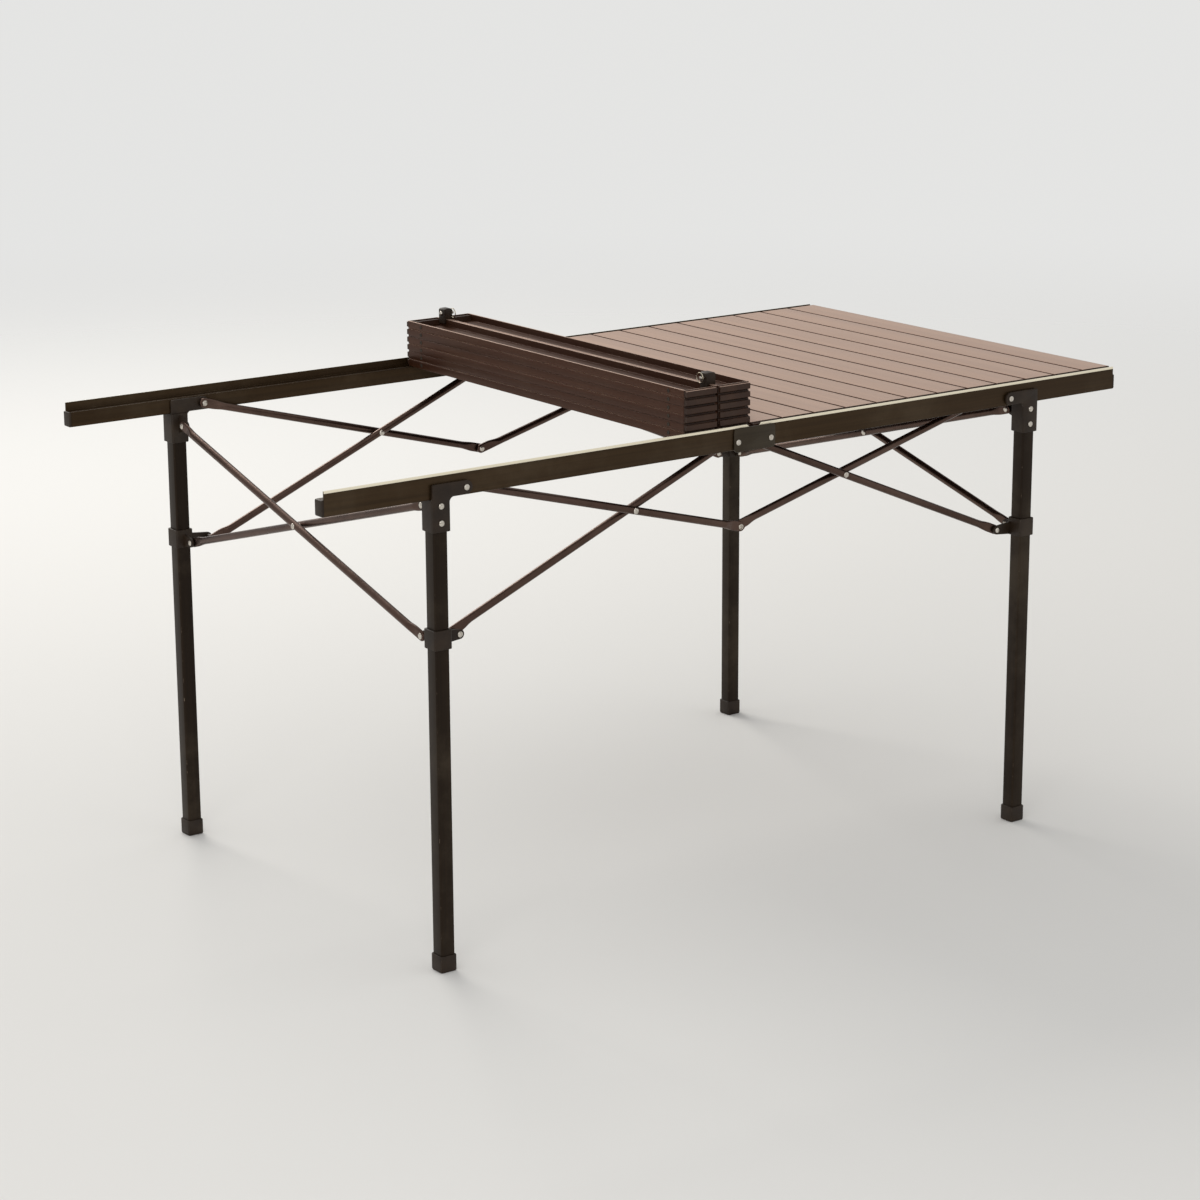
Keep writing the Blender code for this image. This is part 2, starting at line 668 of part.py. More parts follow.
def rail_outline(side):
    """The rail's section in (y, z): a hollow box with a lip on its outer edge."""
    outer = HALF_WIDTH
    inner = HALF_WIDTH - RAIL_WIDTH
    shell = [
        (inner, RAIL_BOTTOM), (outer, RAIL_BOTTOM), (outer, TABLE_HEIGHT),
        (outer - LIP_THICKNESS, TABLE_HEIGHT), (outer - LIP_THICKNESS, LEDGE_HEIGHT), (inner, LEDGE_HEIGHT),
    ]
    hollow = [
        (inner + RAIL_WALL, RAIL_BOTTOM + RAIL_WALL), (outer - LIP_THICKNESS, RAIL_BOTTOM + RAIL_WALL),
        (outer - LIP_THICKNESS, LEDGE_HEIGHT - RAIL_WALL), (inner + RAIL_WALL, LEDGE_HEIGHT - RAIL_WALL),
    ]
    return [[(side * y, z) for y, z in points] for points in (shell, hollow)]


def make_rail(corner, side, end):
    """One half of a side rail, with its inner end rounded about the hinge plate's rivet."""
    outer_x = HALF_LENGTH - CAP_FLANGE - SEAT_GAP
    rail = outline_solid(f"rail_{corner}", rail_outline(side), end * outer_x / 2, outer_x, "x")
    radius = PLATE_PIN_X - RAIL_END_CLEARANCE
    low = -math.degrees(math.asin(0.014 / radius))
    high = math.degrees(math.asin(0.026 / radius))
    reach = [(PLATE_PIN_X - u + PLATE_PIN_X, v) for u, v in arc((PLATE_PIN_X, 0), radius, low, high, 8)]
    reach = [(x, PIVOT_HEIGHT + z) for x, z in reach]
    reach += [(-0.02, reach[-1][1]), (-0.02, reach[0][1])]
    tool = outline_solid("rail_end", [[(end * x, z) for x, z in reach]], side * LEG_Y, 0.1, "y")
    rail = cut(rail, tool)
    hole = RIVET_SHANK + PIN_CLEARANCE
    y = side * LEG_Y
    for x in (PIVOT_X, PLATE_PIN_X):
        rail = drill(rail, (end * x, y, PIVOT_HEIGHT), (0, 1, 0), hole, 4 * RAIL_WIDTH)
    return finish(rail, ALUMINIUM, (end * PIVOT_X, y, PIVOT_HEIGHT))


def make_rail_cap(corner, side, end):
    """The plastic cap in a rail's outer end: a flange with a plug inside the tube."""
    inner = HALF_WIDTH - RAIL_WIDTH
    tip = end * HALF_LENGTH
    shoulder = end * (HALF_LENGTH - CAP_FLANGE)
    flange = box(
        f"rail_cap_{corner}",
        (min(tip, shoulder), min(side * inner, side * HALF_WIDTH), RAIL_BOTTOM),
        (max(tip, shoulder), max(side * inner, side * HALF_WIDTH), LEDGE_HEIGHT),
        CAP_ROUNDING * 0.5,
    )
    low_y = side * (inner + RAIL_WALL + SEAT_GAP)
    high_y = side * (HALF_WIDTH - LIP_THICKNESS - SEAT_GAP)
    deep = end * (HALF_LENGTH - CAP_FLANGE - CAP_PLUG_LENGTH)
    root = end * (HALF_LENGTH - CAP_FLANGE / 2)
    plug = box(
        "plug",
        (min(deep, root), min(low_y, high_y), RAIL_BOTTOM + RAIL_WALL + SEAT_GAP),
        (max(deep, root), max(low_y, high_y), LEDGE_HEIGHT - RAIL_WALL - SEAT_GAP),
    )
    return finish(fuse(flange, plug), PLASTIC, (end * PIVOT_X, side * LEG_Y, PIVOT_HEIGHT))


def make_hinge_plate(side_name):
    """The plate that joins the two halves of a rail, with a rivet in each."""
    side = SIDES[side_name]
    half = PLATE_LENGTH / 2
    high = TABLE_HEIGHT - 0.0030
    low = high - PLATE_HEIGHT
    points = []
    for i, (sx, sz) in enumerate(((1, 1), (-1, 1), (-1, 0), (1, 0))):
        cx = sx * (half - PLATE_CORNER)
        cz = (high - PLATE_CORNER) if sz else (low + PLATE_CORNER)
        points += arc((cx, cz), PLATE_CORNER, 90 * i, 90 * i + 90, 3)
    y = depth_to_y(side, -SEAT_GAP - PLATE_THICKNESS / 2)
    plate = outline_solid("plate", [points], y, PLATE_THICKNESS, "y")
    for x in (-PLATE_PIN_X, PLATE_PIN_X):
        face = depth_to_y(side, -SEAT_GAP - PLATE_THICKNESS)
        length = PLATE_THICKNESS + SEAT_GAP + RAIL_WIDTH - 0.0006
        shank = pin("plate_pin", (x, face, PIVOT_HEIGHT), (0, -side, 0), [(RIVET_SHANK, 0.0, length)], True, False)
        plate = fuse(plate, shank)
    plate.name = f"hinge_plate_{side_name}"
    return finish(plate, ALUMINIUM, (-PLATE_PIN_X, side * LEG_Y, PIVOT_HEIGHT))


def slat_tray(name, left, bottom, open_up):
    """One slat: a shallow channel with closed ends, its skin up or, in a turned layer, down."""
    half = SLAT_LENGTH / 2
    tray = box(name, (left, -half, bottom), (left + SLAT_WIDTH, half, bottom + SLAT_HEIGHT))
    if open_up:
        low, high = bottom + SLAT_SKIN, bottom + SLAT_HEIGHT * 2
    else:
        low, high = bottom - SLAT_HEIGHT, bottom + SLAT_HEIGHT - SLAT_SKIN
    hollow = box(
        "hollow",
        (left + SLAT_WALL, -half + SLAT_END_WALL, low),
        (left + SLAT_WIDTH - SLAT_WALL, half - SLAT_END_WALL, high),
    )
    return cut(tray, hollow)


def panel_place(number):
    """Where panel 1 to 12 lies: its left edge, its bottom, whether it is turned, and its layer."""
    if number > PANELS_PER_HALF:
        left = (number - PANELS_PER_HALF - 1) * PANEL_PITCH
        return left, SLAT_BOTTOM, False, 0
    layer = PANELS_PER_HALF - number
    return -PANEL_PITCH, SLAT_BOTTOM + layer * LAYER_PITCH, layer % 2 == 1, layer


def panel_hinge(number):
    """The axis line, as (x, z), on which a panel turns beside its neighbour nearer the middle."""
    left, bottom, is_turned, layer = panel_place(number)
    if number > PANELS_PER_HALF:
        at_top = (number - PANELS_PER_HALF) % 2 == 0
        z = bottom + SLAT_HEIGHT + SEAT_GAP / 2 if at_top else bottom - SEAT_GAP / 2
        return left, z
    x = -PANEL_PITCH if layer % 2 == 1 else 0.0
    return x, bottom - SEAT_GAP / 2


def make_panel(number):
    """Two slats side by side, which fold as one panel."""
    left, bottom, is_turned, _ = panel_place(number)
    pieces = []
    for i in range(SLATS_PER_PANEL):
        edge = left + i * SLAT_PITCH + SLAT_GAP / 2
        pieces.append(slat_tray("slat", edge, bottom, is_turned))
    low = bottom + SLAT_WEB_DEPTH
    if not is_turned:
        low = bottom + SLAT_HEIGHT - SLAT_WEB_DEPTH - SLAT_WEB_THICKNESS
    middle = left + SLAT_PITCH
    reach = SLAT_GAP / 2 + SLAT_WALL / 2
    half = SLAT_LENGTH / 2 - SLAT_END_WALL
    web = box("web", (middle - reach, -half, low), (middle + reach, half, low + SLAT_WEB_THICKNESS))
    panel = fuse_all(f"slat_pair_{number:02d}", [pieces[0], web, pieces[1]])
    hinge_x, hinge_z = panel_hinge(number)
    return finish(panel, SLAT_METAL, (hinge_x, 0.0, hinge_z), smooth=False)


def make_clip(side_name):
    """A clip that grips the ridge between the two outermost slats, with its bolt and split ring."""
    side = SIDES[side_name]
    left, bottom, _, _ = panel_place(1)
    ridge_x = left + SLAT_PITCH
    ridge_top = bottom + SLAT_HEIGHT
    y = side * CLIP_Y
    half = CLIP_WIDTH / 2
    bolt_z = ridge_top + CLIP_RISE - half
    outline = [(ridge_x - half, ridge_top - CLIP_GRIP), (ridge_x - half, bolt_z)]
    crown = ridge_top + CLIP_RISE - CLIP_CORNER
    shoulder = half - CLIP_CORNER
    outline = outline[:1] + arc((ridge_x - shoulder, crown), CLIP_CORNER, 180, 90, 3)
    outline += arc((ridge_x + shoulder, crown), CLIP_CORNER, 90, 0, 3) + [(ridge_x + half, ridge_top - CLIP_GRIP)]
    grip = SLAT_GAP / 2 + SLAT_WALL + SEAT_GAP
    outline += [(ridge_x + grip, ridge_top - CLIP_GRIP), (ridge_x + grip, ridge_top + SEAT_GAP)]
    outline += [(ridge_x - grip, ridge_top + SEAT_GAP), (ridge_x - grip, ridge_top - CLIP_GRIP)]
    clip = outline_solid("clip", [outline], y, CLIP_LENGTH, "y")
    clip = drill(clip, (ridge_x, y, bolt_z), (1, 0, 0), BOLT_RADIUS + PIN_CLEARANCE, 3 * CLIP_WIDTH)
    clip.name = f"clip_{side_name}"
    finish(clip, PLASTIC, (ridge_x, y, bolt_z))
    toward = 1 if side > 0 else -1
    reach = half + SEAT_GAP
    total = 2 * reach + BOLT_TAIL
    profile = [
        (0.0, total + 0.0012), (BOLT_HEAD_RADIUS * 0.8, total + 0.0012), (BOLT_HEAD_RADIUS * 0.8, total),
        (BOLT_RADIUS, total), (BOLT_RADIUS, 0.0), (BOLT_HEAD_RADIUS, 0.0),
        (BOLT_HEAD_RADIUS, -BOLT_HEAD_LENGTH), (0.0, -BOLT_HEAD_LENGTH),
    ]
    bolt = turned(
        f"clip_bolt_{side_name}", profile, (ridge_x - toward * reach, y, bolt_z), (toward, 0, 0), RIVET_SIDES
    )
    finish(bolt, STEEL, (ridge_x, y, bolt_z))
    ring_x = ridge_x + toward * (reach + BOLT_TAIL / 2)
    ring_z = bolt_z - (RING_RADIUS - RING_WIRE - BOLT_RADIUS - SEAT_GAP)
    bpy.ops.mesh.primitive_torus_add(
        major_radius=RING_RADIUS, minor_radius=RING_WIRE, major_segments=18, minor_segments=6
    )
    torus = bpy.context.active_object
    for group in list(torus.users_collection):
        group.objects.unlink(torus)
    TABLE.objects.link(torus)
    torus.matrix_world = Matrix.Translation((ring_x, y, ring_z)) @ Matrix.Rotation(math.pi / 2, 4, "Y")
    ring = settled(torus, f"split_ring_{side_name}")
    finish(ring, STEEL, (ring_x, y, bolt_z))


clear_scene()
TABLE = new_collection("folding_camp_table")
CUTTERS = new_collection("cutters")
ALUMINIUM = paint("bronze_aluminium", (0.055, 0.036, 0.024), 0.38, 0.75)
SLAT_METAL = paint("slat_aluminium", (0.30, 0.20, 0.14), 0.45, 0.55)
PLASTIC = paint("dark_plastic", (0.018, 0.013, 0.010), 0.50, 0.0)
STEEL = paint("bright_steel", (0.62, 0.60, 0.57), 0.25, 1.0)

for corner, side, end in corner_names():
    make_leg_tube(corner, side, end)
    make_foot(corner, side, end)
    make_bracket(corner, side, end)
    make_rail_rivet(corner, side, end)
    make_collar(corner, side, end)
    make_side_bar("high", corner, side, end)
    make_side_bar("low", corner, side, end)
    make_rail(corner, side, end)
    make_rail_cap(corner, side, end)
for side_name in SIDES:
    for end_name in ENDS:
        make_end_bar(side_name, end_name)
    make_hinge_plate(side_name)
    make_clip(side_name)
for number in range(1, 2 * PANELS_PER_HALF + 1):
    make_panel(number)
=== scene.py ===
# %% [markdown]
# # A folding camp table
#
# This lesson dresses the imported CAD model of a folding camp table: a slatted
# aluminium top, half laid out and half folded into a stack, on a frame of
# square legs, side rails and round brace tubes. The CAD parts hold every size
# and every joint. Each new piece below is a surface worked out with numpy, and
# it takes the place of the plain CAD part it is built over.

import json
import math

import bmesh
import bpy
import numpy as np
from mathutils import Matrix


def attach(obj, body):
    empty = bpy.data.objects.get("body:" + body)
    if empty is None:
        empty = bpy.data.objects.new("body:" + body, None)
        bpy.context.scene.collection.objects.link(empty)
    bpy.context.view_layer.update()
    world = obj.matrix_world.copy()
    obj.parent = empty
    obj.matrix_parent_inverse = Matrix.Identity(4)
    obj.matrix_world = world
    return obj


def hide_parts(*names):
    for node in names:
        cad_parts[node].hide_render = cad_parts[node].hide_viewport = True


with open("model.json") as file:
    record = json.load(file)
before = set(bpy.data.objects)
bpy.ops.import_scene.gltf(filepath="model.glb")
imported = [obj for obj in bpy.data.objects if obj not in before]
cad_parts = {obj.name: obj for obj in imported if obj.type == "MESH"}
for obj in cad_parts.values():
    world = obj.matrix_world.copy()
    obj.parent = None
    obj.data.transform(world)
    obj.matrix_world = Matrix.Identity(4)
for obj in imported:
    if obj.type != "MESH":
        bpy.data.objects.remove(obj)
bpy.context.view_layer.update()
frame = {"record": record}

# %% [markdown]
# ## Sizes
#
# The CAD model and this file share one frame, in metres: X along the table, Y
# across it and Z up, with the origin on the floor in the middle of the feet.
# The numbers below are the table's own sizes. The rest is worked out from them.

# %% Sizes of the table
HALF_LENGTH, HALF_WIDTH, TABLE_HEIGHT = 0.700, 0.360, 0.690
RAIL_WIDTH, RAIL_BOTTOM, LEDGE = 0.018, 0.656, 0.678
RAIL_WALL, LIP = 0.0015, 0.002
PIVOT_X, PIVOT_Z, PLATE_PIN_X = 0.483, 0.667, 0.029
LEG_X, LEG_Y, LEG_HALF = 0.523, 0.351, 0.011
SLEEVE_HALF, SLEEVE_LOW, SLEEVE_TOP = 0.0138, 0.6117, 0.6557
CHEEK_INSET, CHEEK_PROUD, CHEEK_DEPTH = 0.0003, 0.0002, 0.0208
COLLAR_TOP, COLLAR_BOTTOM, COLLAR_PIN_Z = 0.4795, 0.4525, 0.463
END_PIN_Y, END_PIN_Z = 0.319, 0.640
LOWER_JOINT_Z = 0.537
TUBE_RADIUS, OUTER_PLANE, INNER_PLANE = 0.0055, 0.0271, 0.0389
SLAT_PITCH = HALF_LENGTH / 12
SLAT_GAP, SLAT_HEIGHT, SLAT_HALF_LENGTH = 0.0040, 0.0115, 0.3553
SLAT_WIDTH = SLAT_PITCH - SLAT_GAP
LAYER, SLAT_BOTTOM = 0.0118, 0.6783
PLAY = 0.0003
SIDES = {"near": -1, "far": 1}
ENDS = {"left": -1, "right": 1}
CORNERS = [(f"{s}_{e}", SIDES[s], ENDS[e]) for s in SIDES for e in ENDS]
print("slat", round(SLAT_WIDTH * 1000, 1), "mm wide, corners", [c[0] for c in CORNERS])

# %% [markdown]
# ## The camera
#
# The camera was found by matching the table's corners and feet with the
# photograph: a long lens, well back, looking 36 degrees round from the near
# side and 15 degrees down. It comes first, so that every piece is judged from
# the same place.

# %% Camera
FOCAL_PX, IMAGE_PX, SENSOR_MM = 3136.9, 1200.0, 36.0
CAMERA_PLACE = (-2.68263, -3.69715, 1.57904)
turn, down, roll = 0.62676, 0.26095, -0.00509
forward = np.array([math.sin(turn) * math.cos(down), math.cos(turn) * math.cos(down), -math.sin(down)])
level = np.array([math.cos(turn), -math.sin(turn), 0.0])
upward = np.cross(level, forward)
right = math.cos(roll) * level + math.sin(roll) * upward
upward = -math.sin(roll) * level + math.cos(roll) * upward


def set_place(thing, across, up, back, place):
    """Turn a camera or lamp by its three own directions and put it in its place."""
    matrix = np.eye(4)
    matrix[:3, 0], matrix[:3, 1], matrix[:3, 2], matrix[:3, 3] = across, up, back, place
    thing.matrix_world = Matrix(matrix.tolist())


camera = bpy.data.objects.new("camera", bpy.data.cameras.new("camera"))
bpy.context.scene.collection.objects.link(camera)
camera.data.sensor_width = SENSOR_MM
camera.data.lens = FOCAL_PX / IMAGE_PX * SENSOR_MM
set_place(camera, right, upward, -forward, CAMERA_PLACE)
bpy.context.scene.camera = camera
print("lens", round(camera.data.lens, 1), "mm")

# %% [markdown]
# ## Surfaces from rings
#
# Nearly every part of this table is a section carried along a path: extruded
# slats and rails, square legs, round braces, turned rivets. So one helper
# builds them all. It takes an array of rings of points, joins each ring to the
# next with quads, and closes the two ends, or joins the last ring to the first.

# %% Surfaces from rings


def ring_faces(rows, count, loop):
    """Quads between neighbouring rings, where corner (i, j) is number i * count + j."""
    i, j = np.meshgrid(np.arange(rows if loop else rows - 1), np.arange(count), indexing="ij")
    k, n = (i + 1) % rows, (j + 1) % count
    return np.stack([i * count + j, i * count + n, k * count + n, k * count + j], -1).reshape(-1, 4)


def skin(rings, edge=None, loop=False):
    """A closed surface through rings of points, and the wear weight 'edge' of each point, 0 to 1."""
    rings = np.asarray(rings, float)
    rows, count = rings.shape[:2]
    faces = ring_faces(rows, count, loop).tolist()
    if not loop:
        faces.append(list(range(count - 1, -1, -1)))
        faces.append(list(range((rows - 1) * count, rows * count)))
    weight = np.zeros((rows, count)) if edge is None else np.broadcast_to(edge, (rows, count))
    return rings.reshape(-1, 3), faces, weight.reshape(-1)


def joined(parts):
    """Several surfaces as one: points are stacked and the faces' numbers are moved on."""
    points, faces, weights, start = [], [], [], 0
    for p, f, w in parts:
        points.append(p)
        faces += [[n + start for n in face] for face in f]
        weights.append(w)
        start += len(p)
    return np.concatenate(points), faces, np.concatenate(weights)


def moved(part, signs):
    """A surface with its points multiplied by three signs, for mirror images."""
    points, faces, weights = part
    return points * signs, faces, weights


print("two rings of four points give", len(ring_faces(2, 4, False)), "quads")

# %% [markdown]
# ## Rounded sections
#
# A corner of a section is rounded with a few extra points, and those points
# also carry the weight "edge", which the finishes use for wear.

# %% Rounded sections
AXES = {"x": (1, 2, 0), "y": (0, 2, 1), "z": (0, 1, 2)}


def rounded(corners, radius, steps=4):
    """A section with rounded corners: each becomes a quadratic curve between two points on its sides.

    Returns the points and the weight sin(pi t) along each curve, which is 1 in the middle of a corner.
    """
    c = np.asarray(corners, float)
    r = np.broadcast_to(np.asarray(radius, float), (len(c),))[:, None]
    before, after = np.roll(c, 1, 0) - c, np.roll(c, -1, 0) - c
    start = c + before / np.linalg.norm(before, axis=1, keepdims=True) * r
    end = c + after / np.linalg.norm(after, axis=1, keepdims=True) * r
    t = np.linspace(0, 1, steps + 1)[None, :, None]
    curve = (1 - t) ** 2 * start[:, None] + 2 * t * (1 - t) * c[:, None] + t**2 * end[:, None]
    weight = np.broadcast_to(np.sin(np.pi * t[..., 0]), (len(c), steps + 1))
    return curve.reshape(-1, 2), weight.reshape(-1)


def square(half_u, half_v, corner, steps=4):
    """A rounded rectangle about the origin."""
    corners = [(half_u, -half_v), (half_u, half_v), (-half_u, half_v), (-half_u, -half_v)]
    return rounded(corners, corner, steps)


def arc(centre, radius, start, end, steps):
    """Points on a circle between two angles in degrees."""
    t = np.radians(np.linspace(start, end, steps + 1))
    return np.stack([centre[0] + radius * np.cos(t), centre[1] + radius * np.sin(t)], 1)


def lay(flat, along, axis):
    """Points from flat coordinates (n, 2) and a distance, one or (n,), along an axis."""
    u, v, w = AXES[axis]
    out = np.zeros((len(flat), 3))
    out[:, u], out[:, v], out[:, w] = flat[:, 0], flat[:, 1], along
    return out


print("a rounded square has", len(square(1, 1, 0.1)[0]), "points")

# %% [markdown]
# ## Plates, lofts and turned pieces
#
# A plate is its outline at several heights: drawn in a little at both faces
# and full in between, which rounds its edges. A loft is the same idea with any
# list of sections. A turned piece is a profile carried round an axis, and the
# profile ends at a small radius, CORE, where a flat face closes the piece.

# %% Plates
QUARTER = np.array([0.0, 0.5, 1.0]) * np.pi / 2


def drawn_in(outline, depth):
    """Move each point of an outline inward by a depth, along the mean normal of its two sides."""
    step = np.roll(outline, -1, 0) - outline
    normal = np.stack([step[:, 1], -step[:, 0]], 1)
    normal /= np.maximum(np.linalg.norm(normal, axis=1, keepdims=True), 1e-9)
    mean = normal + np.roll(normal, 1, 0)
    mean /= np.maximum(np.linalg.norm(mean, axis=1, keepdims=True), 1e-9)
    x, y = outline.T
    area = np.sum(x * np.roll(y, -1) - np.roll(x, -1) * y)
    return outline - mean * depth * np.sign(area)


def plate(outline, low, high, edge, axis):
    """A plate between two depths whose edges are rounded by two steps of a quarter circle."""
    inset = edge * (1 - np.sin(QUARTER))
    rise = edge * (1 - np.cos(QUARTER))
    insets = np.concatenate([inset, inset[::-1]])
    depths = np.concatenate([low + rise, high - rise[::-1]])
    weights = np.array([0.6, 1.0, 0.0, 0.0, 1.0, 0.6])
    rings = [lay(drawn_in(outline, i), d, axis) for i, d in zip(insets, depths)]
    return skin(rings, weights[:, None])


print("a plate has", 2 * len(QUARTER), "rings")

# %% Lofts and turned pieces
CORE = 0.0004


def loft(stations, centre, axis, loop=False):
    """Rounded rectangles (half_u, half_v, corner, place) joined along an axis."""
    rings, weights = [], []
    for half_u, half_v, corner, place in stations:
        flat, weight = square(half_u, half_v, corner)
        rings.append(lay(flat + np.asarray(centre), place, axis))
        weights.append(weight)
    return skin(rings, np.array(weights), loop)


def turned(profile, base, axis, count=24):
    """Carry a profile of (radius, distance) round an axis: x = r cos a, y = r sin a, z = distance."""
    profile = np.asarray(profile, float)
    axis = np.asarray(axis, float) / np.linalg.norm(axis)
    side = np.cross(axis, (0.0, 0.0, 1.0) if abs(axis[2]) < 0.9 else (1.0, 0.0, 0.0))
    side /= np.linalg.norm(side)
    other = np.cross(axis, side)
    a = np.linspace(0, 2 * np.pi, count, endpoint=False)[None, :, None]
    r, d = profile[:, :1, None], profile[:, 1:, None]
    return skin(np.asarray(base) + r * (np.cos(a) * side + np.sin(a) * other) + d * axis)


print("a turned piece has", len(turned([(1, 0), (1, 1)], (0, 0, 0), (0, 0, 1))[1]), "faces")

# %% [markdown]
# ## From a surface to a piece
#
# Every piece is an object at the origin with its place in its mesh. It rides on
# a body, names a material slot, and may stand for a CAD node. Its finish is only
# named here, and is put on when all the finishes are made.

# %% Making a piece
PIECES = {}
SHARP = 32.0


def piece(name, parts, body, finish, replaced=(), sharp=SHARP):
    """Put surfaces into an object, with outward faces and edge weights, and set it riding."""
    points, faces, weights = joined(parts)
    mesh = bpy.data.meshes.new(name)
    mesh.from_pydata(points.tolist(), [], faces)
    tool = bmesh.new()
    tool.from_mesh(mesh)
    bmesh.ops.recalc_face_normals(tool, faces=tool.faces)
    tool.to_mesh(mesh)
    tool.free()
    weight = mesh.attributes.new("edge", "FLOAT", "POINT")
    weight.data.foreach_set("value", weights.astype(np.float32))
    mesh.shade_smooth()
    mesh.set_sharp_from_angle(angle=math.radians(sharp))
    made = bpy.data.objects.new(name, mesh)
    bpy.context.scene.collection.objects.link(made)
    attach(made, body)
    if replaced:
        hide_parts(*replaced)
    PIECES[name] = (made, finish)


def body_of(node):
    """The name of the body that a CAD node rides on."""
    return next(b for b, nodes in frame["record"]["behaviour"]["bodies"].items() if node in nodes)


def stand_in(node, name, parts, finish, sharp=SHARP):
    """A piece that takes a CAD node's place and rides on its body."""
    piece(name, parts, body_of(node), finish, (node,), sharp)


def stand_ins(places, node, name, make, finish, sharp=SHARP):
    """Stand-ins for CAD nodes in several places, each a label and the values that 'make' takes."""
    for label, *given in places:
        stand_in(f"{node}_{label}", f"{name}_{label}", make(*given), finish, sharp)
    print("pieces so far:", len(PIECES))


print("the first leg rides on", body_of("leg_tube_near_left"))

# %% [markdown]
# ## The slats
#
# A slat is an aluminium channel: a thin skin with a wall down each side. It
# could be a box with a pocket, but carrying its true section along Y gives the
# thin walls, the rounded shoulders and the rims that the stack shows. The
# brightness of the top rims is a painted highlight, put on further down.
# Two slats and the web between them make one folding pair. In every second
# layer of the stack the pair lies face down.

# %% Slats
PAIRS = [(f"{number:02d}", number) for number in range(1, 13)]
STACKED = 6
WALL, OUTER_WALL, SKIN_THICK = 0.0016, 0.0024, 0.0014
END_INSET = 0.0065
WEB_DEEP, WEB_SHORT, WEB_BITE = 0.0014, 0.0004, 0.0005
SLAT_RADII = [0.0006, 0.0003, 0.0009, 0.0009, 0.0003, 0.0003, 0.0002, 0.0014, 0.0014, 0.0002]


def slat_section():
    """The channel in (x, height): skin on top, a wall down each side, open below, outer wall at 0."""
    w, h, o, t, s = SLAT_WIDTH, SLAT_HEIGHT, OUTER_WALL, WALL, SKIN_THICK
    corners = [
        (0, 0), (o, 0), (o, h - s), (w - t, h - s), (w - t, 0),
        (w, 0), (w, h * 0.5), (w, h), (0, h), (0, h * 0.5),
    ]
    return rounded(corners, SLAT_RADII, 3)


def pair_place(number):
    """The left edge, bottom and facing of a pair. Pairs 1 to 6 are the stack, from the top down."""
    if number > STACKED:
        return (number - STACKED - 1) * 2 * SLAT_PITCH, SLAT_BOTTOM, False
    layer = STACKED - number
    return -2 * SLAT_PITCH, SLAT_BOTTOM + layer * LAYER, layer % 2 == 1


def slat_parts(number):
    """Both channels of a pair, the second one mirrored, and the web that joins them, swept along Y."""
    left, bottom, face_down = pair_place(number)
    flat, weight = slat_section()
    parts = []
    reach = SLAT_HALF_LENGTH - END_INSET
    for i in range(2):
        across = flat * (-1, 1) + (SLAT_WIDTH, 0) if i else flat
        section = across + (left + i * SLAT_PITCH + SLAT_GAP / 2, 0)
        section[:, 1] = bottom + (SLAT_HEIGHT - section[:, 1] if face_down else section[:, 1])
        rings = [lay(section, y, "y") for y in (-reach, -reach * 0.5, 0, reach * 0.5, reach)]
        parts.append(skin(rings, weight))
    half_web = (SLAT_HEIGHT - WEB_DEEP - WEB_SHORT) / 2
    height = bottom + (SLAT_HEIGHT - WEB_SHORT - half_web if face_down else WEB_SHORT + half_web)
    web, edge = square(SLAT_GAP / 2 + WEB_BITE, half_web, 0.0002, 2)
    web = web + (left + SLAT_PITCH, height)
    parts.append(skin([lay(web, y, "y") for y in (-reach, reach)], edge))
    return parts


stand_ins(PAIRS, "slat_pair", "slats", slat_parts, "slats")

# %% [markdown]
# ## The slat ends
#
# Each channel is closed by a moulded plug: a flange over the whole end and a
# lower tongue that stands out from it. In the stack the tongues stand apart
# like teeth, which is how the ends of the stack look in the photograph.

# %% Slat ends
TONGUE, BACKING, PLUG_HALF = 0.0041, 0.0056, 0.0038


def slat_end_parts(number):
    """A plug in each end of each slat: a loft that steps from the channel's inside to the tongue."""
    left, bottom, _ = pair_place(number)
    half, face = SLAT_WIDTH / 2, SLAT_HALF_LENGTH - END_INSET
    inner, flange, tongue = half - WALL - 0.0002, half - 0.0003, half - 0.0007
    stations = [
        (inner, PLUG_HALF, 0.0006, face - 0.008), (inner, PLUG_HALF, 0.0006, face + 0.0002),
        (flange, BACKING, 0.0008, face + 0.0003), (flange, BACKING, 0.0008, face + 0.0014),
        (tongue, TONGUE, 0.0010, face + 0.0018), (tongue, TONGUE, 0.0010, SLAT_HALF_LENGTH - 0.0008),
        (half - 0.0013, TONGUE - 0.0007, 0.0008, SLAT_HALF_LENGTH),
    ]
    parts = []
    for i in (0.5, 1.5):
        plug = loft(stations, (left + i * SLAT_PITCH, bottom + SLAT_HEIGHT / 2), "y")
        parts += [moved(plug, (1, side, 1)) for side in (-1, 1)]
    return parts


for label, number in PAIRS:
    piece(f"slat_ends_{label}", slat_end_parts(number), body_of(f"slat_pair_{label}"), "slat_ends")
print("pieces so far:", len(PIECES))

# %% [markdown]
# ## Studs in the slats' walls
#
# The cord that strings the slats together passes through small plastic studs
# near both ends of each wall. They are turned pieces that stand out a little,
# far less than the gap to the next slat.

# %% Slat studs
STUD_Y, STUD_RADIUS, STUD_PROUD, STUD_ROOT = 0.314, 0.0029, 0.0006, -0.0008


